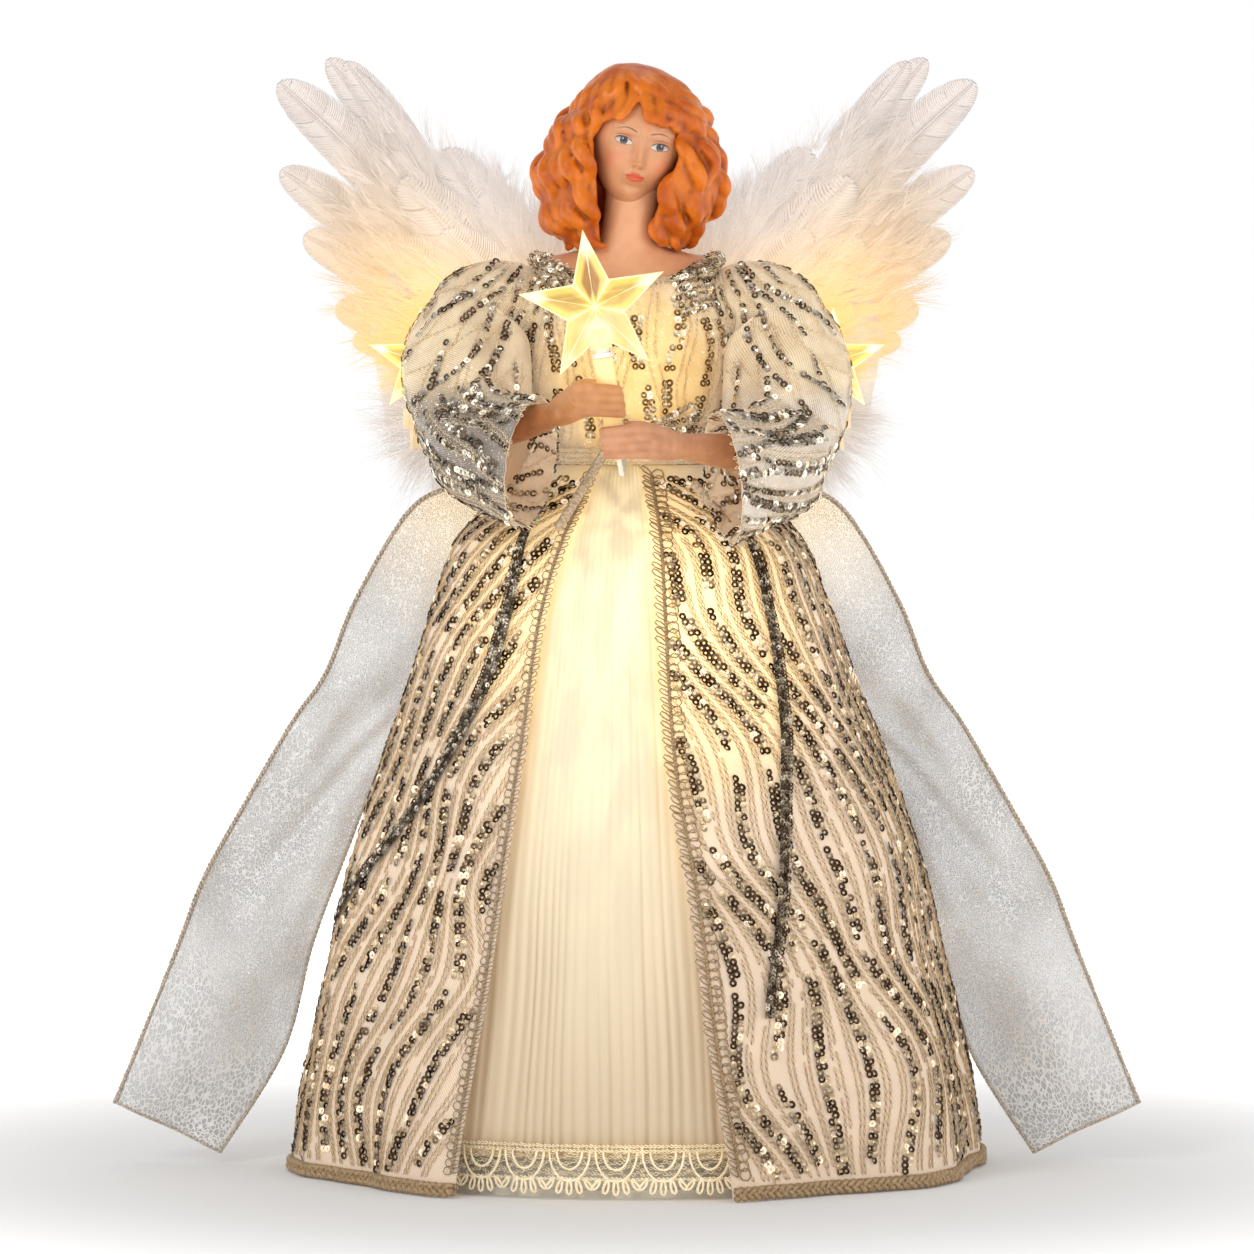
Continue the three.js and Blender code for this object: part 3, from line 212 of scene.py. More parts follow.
def tubes(name, paths, radii, sides, material, closed=False, **values):
    """Round strands along lists of points. Radii is one number, or one for each path."""
    points, faces, start, extra = [], [], 0, {k: [] for k in values}
    turn = 2 * np.pi * np.arange(sides) / sides
    for index, path in enumerate(paths):
        path = np.asarray(path, float)
        count = len(path)
        ahead = unit(np.roll(path, -1, 0) - np.roll(path, 1, 0) if closed else np.gradient(path, axis=0))
        side = np.cross(ahead[0], [0.31, 0.47, 0.83])
        across = []
        for direction in ahead:
            side = side - direction * np.dot(side, direction)
            side = side / np.linalg.norm(side)
            across.append(side)
        over = np.cross(ahead, across)
        radius = radii[index] if isinstance(radii, (list, np.ndarray)) else radii
        radius = np.broadcast_to(radius, count)[:, None, None]
        ring = np.array(across)[:, None] * np.cos(turn)[:, None] + over[:, None] * np.sin(turn)[:, None]
        points.append((path[:, None] + ring * radius).reshape(-1, 3))
        if closed:
            made = (grid_faces(count + 1, sides, ring=True) % (count * sides)).tolist()
        else:
            made = capped_faces(count, sides)
        faces += [[start + corner for corner in face] for face in made]
        for key, value in values.items():
            extra[key].append(np.repeat(np.broadcast_to(value[index], count), sides))
        start += count * sides
    extra = {k: np.concatenate(v) for k, v in extra.items()}
    return solid(name, np.concatenate(points), faces, material, **extra)


def distances(path):
    """How far each point of a path lies from its start."""
    return np.concatenate([[0], np.cumsum(np.linalg.norm(np.diff(path, axis=0), axis=1))])


def joined(name, pieces):
    """Several pieces made one."""
    with bpy.context.temp_override(active_object=pieces[0], selected_editable_objects=pieces):
        bpy.ops.object.join()
    pieces[0].name = name
    return pieces[0]


def discard(*shapes):
    """Removes shapes that were only there to be repeated."""
    for shape in shapes:
        bpy.data.objects.remove(shape)


def plain_mesh(piece):
    """Turns a piece's evaluated shape into its own mesh, with no modifier left."""
    name = piece.name
    mesh = bpy.data.meshes.new_from_object(piece.evaluated_get(bpy.context.evaluated_depsgraph_get()))
    discard(piece)
    mesh.name = name
    return new_object(name, mesh, None)


def wear(piece, body, slot, *nodes):
    """Rides a finished piece on its body, and hides the nodes it stands for. Its slot is not used."""
    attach(piece, body)
    if nodes:
        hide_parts(*nodes)
    return piece


# Finishes

def feed(tree, socket, value):
    """Gives a node's input a value, or links it to another node's output."""
    if isinstance(value, bpy.types.NodeSocket):
        tree.links.new(value, socket)
    elif socket.type == "RGBA" and len(value) == 3:
        socket.default_value = (*value, 1)
    else:
        socket.default_value = value


def add_node(tree, kind, inputs=(), **settings):
    """A node of a tree, with its settings and inputs. Gives its outputs."""
    node = tree.nodes.new(kind)
    for key, value in settings.items():
        setattr(node, key, value)
    for key, value in dict(inputs).items():
        feed(tree, node.inputs[key], value)
    return node.outputs


class Finish:
    """A material's node tree, with short ways to add and join nodes."""

    def __init__(self, name, **sockets):
        self.material = bpy.data.materials.new(name)
        self.material.use_nodes = True
        self.tree = self.material.node_tree
        self.shader = next(n for n in self.tree.nodes if n.type == "BSDF_PRINCIPLED")
        self.place = self.node("ShaderNodeTexCoord")["Object"]
        for key, value in sockets.items():
            self.set(key.replace("_", " "), value)

    def set(self, key, value):
        feed(self.tree, self.shader.inputs[key], value)

    def glow(self, colour, strength):
        self.set("Emission Color", colour)
        self.set("Emission Strength", strength)

    def node(self, kind, inputs=(), **settings):
        return add_node(self.tree, kind, inputs, **settings)

    def times(self, first, second):
        return self.node("ShaderNodeMath", {0: first, 1: second}, operation="MULTIPLY")[0]

    def plus(self, first, second):
        return self.node("ShaderNodeMath", {0: first, 1: second}, operation="ADD")[0]

    def noise(self, scale, detail=2.0, place=None):
        inputs = {"Vector": place or self.place, "Scale": scale, "Detail": detail}
        return self.node("ShaderNodeTexNoise", inputs)["Fac"]

    def stretched(self, x, y, z):
        """The place, scaled differently along each axis."""
        return self.node("ShaderNodeMapping", {"Vector": self.place, "Scale": (x, y, z)})["Vector"]

    def height(self):
        return self.node("ShaderNodeSeparateXYZ", {"Vector": self.place})["Z"]

    def value(self, name, output="Fac"):
        """A per-point value or colour stored on the mesh."""
        return self.node("ShaderNodeAttribute", attribute_name=name)[output]

    def cloth_place(self):
        return self.node("ShaderNodeUVMap", uv_map="Cloth")["UV"]

    def range(self, value, low, high, to_low=0.0, to_high=1.0):
        inputs = {"Value": value, "From Min": low, "From Max": high, "To Min": to_low, "To Max": to_high}
        return self.node("ShaderNodeMapRange", inputs, interpolation_type="SMOOTHSTEP")["Result"]

    def mix(self, share, first, second):
        return self.node("ShaderNodeMix", {"Factor": share, 6: first, 7: second}, data_type="RGBA")[2]

    def fade(self, value, low, high, first, second):
        """From one colour to another as a value goes from low to high."""
        return self.mix(self.range(value, low, high), first, second)

    def twill(self, scale, place):
        """Fine diagonal lines of a weave."""
        inputs = {"Vector": place, "Scale": scale, "Distortion": 0.0}
        return self.node("ShaderNodeTexWave", inputs, bands_direction="DIAGONAL")["Fac"]

    def bump(self, height, distance, strength=1.0):
        inputs = {"Height": height, "Distance": distance, "Strength": strength}
        self.set("Normal", self.node("ShaderNodeBump", inputs)["Normal"])

    def near(self, centre, reach):
        """1 at a place on the piece, falling to 0 at a reach from it."""
        away = self.node("ShaderNodeVectorMath", {0: self.place, 1: centre}, operation="DISTANCE")["Value"]
        return self.range(away, 0.0, reach, 1.0, 0.0)

    def lit(self, colour, spots, gain=None, base=0.0):
        """Warm light that shows through: spots of (centre, reach, strength) over a plain share of light."""
        total = None
        for centre, reach, strength in spots:
            share = self.times(self.near(centre, reach), strength)
            total = share if total is None else self.plus(total, share)
        if gain is not None:
            total = self.times(total, gain)
        if base:
            colour = self.fade(total, 0.0, 0.3, tint(246, 238, 230), colour)
            total = self.plus(total, base)
        self.glow(colour, total)


def mottled(name, dark, light, scale, bump=0.0, **sockets):
    """A finish whose colour varies gently, with a fine relief."""
    finish = Finish(name, **sockets)
    grain = finish.noise(scale, 4.0)
    finish.set("Base Color", finish.fade(grain, 0.3, 0.7, dark, light))
    if bump:
        finish.bump(grain, bump)
    return finish


# Geometry Nodes: shapes set along paths

def tree_with(name, **inputs):
    """A Geometry Nodes tree with named inputs, each a kind of socket and a value, and its input sockets."""
    tree = bpy.data.node_groups.new(name, "GeometryNodeTree")
    for way in ("INPUT", "OUTPUT"):
        tree.interface.new_socket("Geometry", in_out=way, socket_type="NodeSocketGeometry")
    for key, (kind, value) in inputs.items():
        name = key.replace("_", " ")
        socket = tree.interface.new_socket(name, in_out="INPUT", socket_type="NodeSocket" + kind)
        if value is not None:
            socket.default_value = value
    return tree, add_node(tree, "NodeGroupInput")


def end_tree(tree, given, geometry):
    """Ends a tree in Realize Instances and Set Material."""
    real = add_node(tree, "GeometryNodeRealizeInstances", {"Geometry": geometry})
    dressed = add_node(tree, "GeometryNodeSetMaterial", {"Geometry": real[0], "Material": given["Finish"]})
    tree.links.new(dressed[0], tree.nodes.new("NodeGroupOutput").inputs[0])
    return tree


def grown(piece, tree, **values):
    """A piece's shape through a tree, as one plain mesh."""
    modifier = piece.modifiers.new("Grow", "NODES")
    modifier.node_group = tree
    for socket in tree.interface.items_tree:
        key = socket.name.replace(" ", "_")
        if socket.in_out == "INPUT" and key in values:
            modifier[socket.identifier] = values[key]
    return plain_mesh(piece)


def step_tree():
    """Sets a shape at even steps along paths, standing on the surface, each a little different."""
    tree, out = tree_with(
        "Shapes along paths", Shape=("Object", None), Finish=("Material", None), Step=("Float", 3 * MM),
        Spread=("Float", 0.0), Tilt=("Float", 0.0), Kept_share=("Float", 1.0), Seed=("Int", 0),
    )

    def add(kind, inputs=(), **settings):
        return add_node(tree, kind, inputs, **settings)

    curve = add("GeometryNodeMeshToCurve", {"Mesh": out["Geometry"]})
    steps = add("GeometryNodeResampleCurve", {"Curve": curve[0], "Length": out["Step"]}, mode="LENGTH")
    up = add("GeometryNodeInputNamedAttribute", {"Name": "up"}, data_type="FLOAT_VECTOR")
    stand = add("FunctionNodeAlignRotationToVector", {"Vector": up[0]}, axis="Z")
    turned = {"Rotation": stand[0], "Vector": add("GeometryNodeInputTangent")[0]}
    facing = add("FunctionNodeAlignRotationToVector", turned, axis="X", pivot_axis="Z")
    low = add("ShaderNodeMath", {0: out["Tilt"], 1: -1.0}, operation="MULTIPLY")
    bounds = {"Seed": out["Seed"], "Min": low[0], "Max": out["Tilt"]}
    lean = add("FunctionNodeRandomValue", bounds, data_type="FLOAT_VECTOR")
    leaning = add("FunctionNodeEulerToRotation", {"Euler": lean[0]})
    both = {"Rotation": facing[0], "Rotate By": leaning[0]}
    rotation = add("FunctionNodeRotateRotation", both, rotation_space="LOCAL")
    other = add("ShaderNodeMath", {0: out["Seed"], 1: 7.0}, operation="ADD")
    chance = {"Seed": other[0], "Probability": out["Kept share"]}
    kept = add("FunctionNodeRandomValue", chance, data_type="BOOLEAN")
    vary = add("FunctionNodeRandomValue", {2: -1.0, 3: 1.0, "Seed": out["Seed"]}, data_type="FLOAT")
    size = add("ShaderNodeMath", {0: vary[1], 1: out["Spread"], 2: 1.0}, operation="MULTIPLY_ADD")
    shape = add("GeometryNodeObjectInfo", {"Object": out["Shape"], "As Instance": True})
    placed = add("GeometryNodeInstanceOnPoints", {
        "Points": steps[0], "Selection": kept[3], "Instance": shape["Geometry"], "Rotation": rotation[0],
        "Scale": size[0],
    })
    shade = add("FunctionNodeRandomValue", data_type="FLOAT")
    stored = {"Geometry": placed[0], "Name": "shade", "Value": shade[1]}
    named = add("GeometryNodeStoreNamedAttribute", stored, data_type="FLOAT", domain="INSTANCE")
    return end_tree(tree, out, named[0])


def path_object(name, paths, ups):
    """A mesh of edges along paths, with the surface's direction kept at each point."""
    points = np.concatenate([np.asarray(p, float) for p in paths])
    starts = np.cumsum([0] + [len(p) for p in paths])
    edges = [(i, i + 1) for a, b in zip(starts[:-1], starts[1:]) for i in range(a, b - 1)]
    mesh = bpy.data.meshes.new(name)
    mesh.from_pydata(points.tolist(), edges, [])
    up = mesh.attributes.new("up", "FLOAT_VECTOR", "POINT")
    up.data.foreach_set("vector", np.concatenate(ups).astype(np.float32).ravel())
    return new_object(name, mesh, None)


def set_along(name, rows, shape, finish, step, **inputs):
    """Copies of a shape at even steps along rows of (path, way up), as one plain mesh."""
    tree = bpy.data.node_groups.get("Shapes along paths") or step_tree()
    return grown(path_object(name, *zip(*rows)), tree, Shape=shape, Finish=finish, Step=step, **inputs)


def sewn(name, rows, shape, finish, step, **inputs):
    """Sequins or stitches of the gown, along rows."""
    piece = set_along(name, rows, shape, finish, step, **inputs)
    return wear(piece, "root", "sequin_trim" if "sequins" in name else "metal_braid")


def ring_sequin(radius):
    """A cupped sequin with a hole, facing +Z."""
    turn = 2 * np.pi * np.arange(8) / 8
    rings = [(0.36, -0.06), (1.0, 0.14)]
    points = [[(r * math.cos(t), r * math.sin(t), h) for t in turn] for r, h in rings]
    return solid("sequin_shape", np.array(points) * radius, grid_faces(2, 8, ring=True)[:, ::-1], None)


def thread_loop(length, width, thread, steps=4, lean=0.0):
    """A loop of thread, from the origin out along +X, lying on the surface."""
    turn = 2 * np.pi * np.arange(steps) / steps
    x = length / 2 * (1 - np.cos(turn))
    y = width / 2 * np.sin(turn) * (0.55 + 0.45 * x / length)
    c, s = math.cos(lean), math.sin(lean)
    path = np.stack([c * x - s * y, s * x + c * y, thread + 0 * x], -1)
    return tubes("loop_shape", [path], thread, 3, None, closed=True)


# The gown's surfaces

def skirt_point(angle, share, inset=0.0, folds=FOLD_DEPTH):
    flare = spline(FLARE_SHARES, share)
    fold = folds * (1 - share) * np.sin(FOLD_COUNT * angle)
    half = [w + (s - w) * flare + fold - inset for w, s in zip(WAIST_HALF, SKIRT_HALF)]
    x = half[0] * np.sin(angle) + SKIRT_SWING * (1 - share**2)
    return np.stack(np.broadcast_arrays(x, -half[1] * np.cos(angle), SKIRT_HEIGHT * share), -1)


def left_edge(share):
    return -np.radians(spline(LEFT_EDGE_DEGREES, share))


def right_edge(share):
    return np.radians(spline(RIGHT_EDGE_DEGREES, share))


def robe_angle(share, across):
    start = right_edge(share)
    return start + across * (2 * np.pi + left_edge(share) - start)


def robe_point(across, share, lift=0.0):
    """A point of the robe: across runs from its right front edge round the back to its left one."""
    angle = robe_angle(share, across)
    small = 0.5 * MM * (1 - share) * (np.sin(29 * angle + 3 * share) - 1)
    return skirt_point(angle, share, -small - lift)


def on_surface(place, a, b, lift, nudge=1e-3):
    """Points at a lift above a surface given by two shares, and the surface's direction there."""
    here = place(a, b)
    along_a = place(a + nudge, b) - here
    along_b = place(a, b + nudge) - here
    up = unit(np.cross(along_a, along_b))
    return here + up * lift, up


def skirt_width(share):
    flare = spline(FLARE_SHARES, share)
    return sum(w + (s - w) * flare for w, s in zip(WAIST_HALF, SKIRT_HALF)) / 2


def size_property(name, description, default, precision=4):
    return FloatProperty(
        name=name, description=description, default=default, unit="LENGTH", precision=precision,
    )


def colour_property(name, description, *shade):
    return FloatVectorProperty(
        name=name, description=description, default=tint(*shade), size=3, subtype="COLOR", min=0, max=1,
    )


def count_property(name, description, default):
    return IntProperty(name=name, description=description, default=default, min=10)


class GownSettings(bpy.types.PropertyGroup):
    row_pitch: size_property("Row pitch", "From one sequin row to the next, on the flat cloth", 16.5 * MM)
    row_wave: size_property("Row wave", "How far the rows wander to each side", 8.5 * MM)
    sequin: size_property("Sequin", "Width of a ring sequin", 2.9 * MM)
    stitch: size_property("Chain stitch", "Length of one stitch", 3.2 * MM)
    pleats: count_property("Pleats", "Pleats round the underskirt", 190)
    cream: colour_property("Tulle", "Colour of the robe's tulle", 244, 216, 184)
    bronze: colour_property("Sequins", "Colour of the sequins", 72, 52, 34)
    gold: colour_property("Stitches", "Colour of the chain stitches and braids", 228, 198, 152)
    glow: colour_property("Lamplight", "Colour of the light through the cloth", 255, 222, 150)


def toned(colour, *shares):
    """A colour with its channels scaled, all by one share or each by its own."""
    return tuple(np.minimum(1.0, np.array(colour) * shares).tolist())


# Where the lamps inside light the gown: place, reach and strength, high at the front and weaker at the back
GOWN_SPOTS = [
    ((0.0, -0.045, 0.235), 0.075, 0.5), ((0.004, -0.07, 0.18), 0.10, 0.375), ((0.0, 0.05, 0.19), 0.09, 0.2),
    ((0.036, -0.075, 0.205), 0.075, 0.675), ((-0.05, -0.06, 0.215), 0.06, 0.4),
]


def robe_tulle(settings):
    finish = Finish("Robe tulle", Roughness=0.62, Sheen_Weight=0.25, Sheen_Roughness=0.4)
    twill = finish.twill(520.0, finish.cloth_place())
    cloud = finish.noise(60.0, 3.0)
    shade = finish.plus(finish.times(twill, 0.45), finish.times(cloud, 0.55))
    finish.set("Base Color", finish.fade(shade, 0.2, 0.8, toned(settings.cream, 0.72), settings.cream))
    finish.bump(twill, 0.00012, 0.6)
    finish.lit(settings.glow, GOWN_SPOTS, finish.range(cloud, 0.2, 0.8, 0.7, 1.0), base=0.12)
    return finish.material


def sequin_finish(name, dark, light, roughness=0.22, painted_glint=0.35):
    finish = Finish(name, Metallic=1.0, Roughness=roughness)
    shade = finish.value("shade")
    finish.set("Base Color", finish.fade(shade, 0.35, 0.95, dark, light))
    # The brightest few sequins glow as painted glints of reflected light.
    finish.glow(tint(255, 244, 224), finish.range(shade, 0.90, 0.97, 0.0, painted_glint))
    return finish.material


def metal_thread(name, colour, glow=0.0):
    finish = mottled(name, toned(colour, 0.62), toned(colour, 1.15), 900.0, Metallic=0.12, Roughness=0.4)
    # The thread's glow is painted light, lifting it out of its shading.
    finish.glow(tint(255, 232, 196), glow)
    return finish.material


def cloth_half(share):
    """Half the cloth's width at each height. Gathered at the waist, it narrows less than the robe."""
    return (2 * np.pi * skirt_width(share)) ** 0.45 * (2 * np.pi * SKIRT_HALF[0]) ** 0.55 / 2


def row_across(place, share, wave):
    """Where a row of the pattern lies, from its place on the flat cloth, measured from the back seam."""
    z = share * SKIRT_HEIGHT
    slow = 30 * place + 0.9 * np.sin(place / 0.06)
    sway = np.sin(2 * np.pi * z / 0.108 + slow) + 0.3 * np.sin(2 * np.pi * z / 0.061 - 1.3 * slow)
    return 0.5 + (place + wave * sway) / (2 * cloth_half(share))


def runs_of(held):
    """Where a row of yes and no holds, as starts and stops."""
    edges = np.flatnonzero(np.diff(np.concatenate([[0], held.astype(int), [0]])))
    return zip(edges[::2], edges[1::2])


def robe_rows(settings, rng):
    """Paths of the sequin rows and the stitch rows, as (across, share) lists, cut to the robe's width."""
    share = np.arange(0.026, 0.985, 0.006)
    pitch = settings.row_pitch
    reach = int(0.42 / pitch)
    width = 2 * np.pi * skirt_width(share)
    margin = 5.5 * MM / width
    step = 0.40 * settings.sequin / width
    dark, fine = [], []
    for row in range(-reach, reach + 1):
        place = (row + 0.5) * pitch
        path, ahead = (row_across(start, share, settings.row_wave) for start in (place, place + pitch))
        room = (ahead - path) * width / pitch
        inside = (path > margin) & (path < 1 - margin)
        for line, need, gaps in ((path, 0.30, (2, 7)), (0.5 * (path + ahead), 1.42, (4, 10))):
            for begin, stop in runs_of(inside & (room > need)):
                cursor = begin + int(rng.integers(0, 4))
                while cursor < stop - 3:
                    run = int(rng.integers(16, 52))
                    trims = ((0, 0), (int(rng.integers(0, 3)), int(rng.integers(0, 5))))
                    for offset, (early, late) in zip((-step, step), trims):
                        part = slice(cursor + early, min(cursor + run - late, stop))
                        if len(path[part]) > 3:
                            dark.append(((line + offset)[part], share[part]))
                    cursor += run + int(rng.integers(*gaps))
        for between, need in ((0.26, 0.5), (0.37, 0.6), (0.63, 0.6), (0.74, 0.5)):
            line = path + between * (ahead - path)
            clear = (room < 1.42) | (abs(between - 0.5) > 0.2)
            clear = clear & (line > margin) & (line < 1 - margin)
            for begin, stop in runs_of((room > need) & clear):
                if stop - begin > 5:
                    fine.append((line[begin:stop], share[begin:stop]))
    return dark, fine


def by_side(rows):
    """Rows of the right front, the back and the left front of the robe."""
    parts = {"right": [], "back": [], "left": []}
    for path, share in rows:
        where = path.mean()
        parts["right" if where < 0.27 else "left" if where > 0.73 else "back"].append((path, share))
    return parts


class DressRobe(bpy.types.Operator):
    """The open robe: tulle, wavy sequin rows and chain stitches"""

    bl_idname = "angel.dress_robe"
    bl_label = "Robe"

    def execute(self, context):
        settings = context.scene.angel_gown
        share = np.linspace(ROBE_LIFT / SKIRT_HEIGHT, 1, 50)[:, None]
        outer = robe_point(np.linspace(0, 1, 270)[None, :], share)
        robe = cloth("robe", outer, robe_tulle(settings), size=(2 * np.pi * SKIRT_HALF[0], SKIRT_HEIGHT))
        wear(robe, "root", "robe_tulle", "robe_skirt")
        dark, fine = robe_rows(settings, np.random.default_rng(11))
        sequin = ring_sequin(settings.sequin / 2)
        loop = thread_loop(settings.stitch, 1.4 * MM, 0.21 * MM)
        bronze = sequin_finish("Bronze sequins", settings.bronze, tint(222, 196, 158), painted_glint=0.6)
        gold = metal_thread("Gold chain stitch", settings.gold, 0.05)
        for kind, rows, shape, finish, step, lift, tilt in (
            ("sequins", dark, sequin, bronze, 0.76 * settings.sequin, 0.5 * MM, 0.3),
            ("stitches", fine, loop, gold, 0.86 * settings.stitch, 0.1 * MM, 0.08),
        ):
            for side, part in by_side(rows).items():
                placed = [on_surface(robe_point, path, share, lift) for path, share in part]
                sewn(
                    f"robe_{kind}_{side}", placed, shape, finish, step, Tilt=tilt, Spread=0.08,
                    Kept_share=0.96, Seed=len(part),
                )
        discard(sequin, loop)
        return {"FINISHED"}


def underskirt_inset(share):
    """How far inside the robe's surface the underskirt lies."""
    return 1.9 * MM + 6.3 * MM * (1 - share)


def ivory_satin():
    finish = Finish("Ivory satin", Roughness=0.5, Sheen_Weight=0.2)
    pleat = finish.value("pleat")
    # The satin is painted darker towards the hem, as shade, and darker in the pleats' valleys, as painted
    # shade.
    satin = finish.fade(finish.height(), 0.0, 0.17, tint(226, 205, 172), tint(238, 221, 188))
    deep = finish.range(pleat, 0.2, 1.0, 0.0, 0.55)
    finish.set("Base Color", finish.mix(deep, satin, tint(200, 174, 134)))
    finish.bump(finish.noise(260.0, 2.0, finish.stretched(4.0, 4.0, 0.25)), 0.0002, 0.4)
    # The lamplight's glow is painted weaker in the pleats' valleys, as shade, and varies in soft streaks
    # along the folds.
    folds = finish.range(finish.noise(110.0, 2.0, finish.stretched(1.0, 1.0, 0.06)), 0.35, 0.65, 0.5, 1.35)
    spots = [
        ((0.0, -0.04, 0.235), 0.08, 0.44), ((0.006, -0.07, 0.175), 0.08, 0.25),
        ((0.0, -0.1, 0.12), 0.11, 0.08),
    ]
    finish.lit(tint(255, 232, 172), spots, finish.times(finish.range(pleat, 0.0, 0.9, 1.0, 0.2), folds))
    return finish.material


class DressUnderskirt(bpy.types.Operator):
    """The pleated satin underskirt, lit from inside, and its lace hem"""

    bl_idname = "angel.dress_underskirt"
    bl_label = "Underskirt"

    def execute(self, context):
        pleats = context.scene.angel_gown.pleats
        profile = np.array([0.0, 0.35, 1.0, 0.6])
        share = np.linspace(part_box("pleated_underskirt")[0].z / SKIRT_HEIGHT, 1, 20)[:, None]
        pleat, step = np.divmod(np.arange(pleats * len(profile))[None, :], len(profile))
        rng = np.random.default_rng(8)
        width = rng.uniform(0.55, 1.5, pleats)
        start = np.concatenate([[0], np.cumsum(width)]) / width.sum()
        at = start[pleat] + step / len(profile) * (width / width.sum())[pleat]
        crisp = rng.uniform(0.35, 1.0, pleats)[pleat]
        wander = np.sin(7 * share + 40 * at) + 0.5 * np.sin(15 * share - 90 * at)
        depth = profile[step] * crisp * (0.3 + 0.7 * (1 - share)) * (1 + 0.25 * wander)
        angle = 2 * np.pi * (at + 0.0012 * wander * (1 - share))
        points = skirt_point(angle, share, underskirt_inset(share) + 1.15 * MM * depth, 0.0)
        skirt = cloth("underskirt", points, ivory_satin(), ring=True, wall=0.4 * MM, pleat=depth)
        wear(skirt, "root", "ivory_satin", "pleated_underskirt")
        wear(lace_hem(), "root", "ivory_lace", "lace_hem")
        return {"FINISHED"}


def hem_point(around, share):
    """A point on the lace's surface, outside the underskirt."""
    return skirt_point(2 * np.pi * around, share, underskirt_inset(share) - 1.0 * MM, 0.0)


SCALLOPS = 44


def lace_hem():
    """Lace: a beaded top edge, a ground of small loops, arches, and pendants of picots."""
    thread = mottled(
        "Ivory lace thread", tint(236, 212, 176), tint(255, 244, 216), 700.0, Roughness=0.6, Sheen_Weight=0.2,
    )
    thread.lit(tint(255, 232, 180), [((0.0, -0.1, 0.03), 0.09, 0.35)])
    top, foot, tip = 0.0190 / SKIRT_HEIGHT, 0.0075 / SKIRT_HEIGHT, 0.0018 / SKIRT_HEIGHT
    around = np.linspace(0, 1, 900)
    ground = [
        foot + (top - foot) * k / 6 + 0.0016 * np.sin(2 * np.pi * around * SCALLOPS * 2 + k * 2.0)
        for k in range(1, 6)
    ]
    pieces = []
    for name, heights, lift, loop, step, spread, tilt, seed in (
        ("lace_beads", (top, top - 0.006, foot), 0.1 * MM, (1.5, 1.2, 0.3), 1.5 * MM, 0.15, 0.2, 3),
        ("lace_ground", ground, 0.05 * MM, (2.0, 1.5, 0.16), 1.65 * MM, 0.2, 0.5, 5),
    ):
        shape = thread_loop(*mm(*loop))
        rows = [on_surface(hem_point, around, height + 0 * around, lift) for height in heights]
        made = set_along(name, rows, shape, thread.material, step, Spread=spread, Tilt=tilt, Seed=seed)
        pieces.append(made)
        discard(shape)
    bars = []
    half_turn, turn = np.linspace(0, np.pi, 13), np.linspace(0, 2 * np.pi, 11)[:-1]
    out = (1 - np.cos(turn)) / 2
    for centre in (np.arange(SCALLOPS) + 0.5) / SCALLOPS:
        for reach, drop in ((1.0, 0.040), (0.62, 0.024)):
            across = centre - 0.44 / SCALLOPS * reach * np.cos(half_turn)
            bars.append(on_surface(hem_point, across, top - 0.008 - drop * np.sin(half_turn), 0.35 * MM)[0])
        for lean in (-1, -0.5, 0, 0.5, 1):
            spread = 0.34 * lean + lean * 0.14 * out + 0.075 * np.sin(turn) * (0.4 + 0.6 * out)
            length = (foot - tip) * (1 - 0.33 * lean * lean)
            loop = on_surface(hem_point, centre + spread / SCALLOPS, foot - length * out, 0.3 * MM)[0]
            bars.append(np.concatenate([loop, loop[:1]]))
    pieces.append(tubes("lace_arches", bars, 0.5 * MM, 4, thread.material))
    return joined("lace", pieces)


def braid_rows(
    name, across, share, finish, step, width, length, thread, round_side=0, sides=(1, -1), core=True,
):
    """A gimp braid on the robe: loops that lean out on both sides of a twisted cord."""
    path, up = on_surface(robe_point, across, share, 0.4 * MM)
    pieces = []
    for side in sides:
        wide, lean = (length * 1.15, 1.35) if side == round_side else (width, 0.85)
        shape = thread_loop(length, wide, thread, 7, side * lean)
        pieces.append(set_along(
            name + str(side), [(path, up)], shape, finish, step, Spread=0.12, Tilt=0.12, Seed=side + 5,
        ))
        discard(shape)
    if core:
        beside = np.cross(up, unit(np.gradient(path, axis=0)))
        far = distances(path)
        steps = np.arange(0, far[-1], 0.4 * MM)
        path, up, beside = (
            np.stack([np.interp(steps, far, v[:, k]) for k in range(3)], -1) for v in (path, up, beside)
        )
        cords = []
        for phase in (0, math.pi):
            turn = (2 * math.pi * steps / (2.6 * MM) + phase)[:, None]
            height = 0.5 * MM + 0.35 * MM * np.sin(turn)
            cords.append(path + up * height + beside * 0.35 * MM * np.cos(turn))
        pieces.append(tubes(name + "_cord", cords, 0.42 * MM, 5, finish))
    return joined(name, pieces)


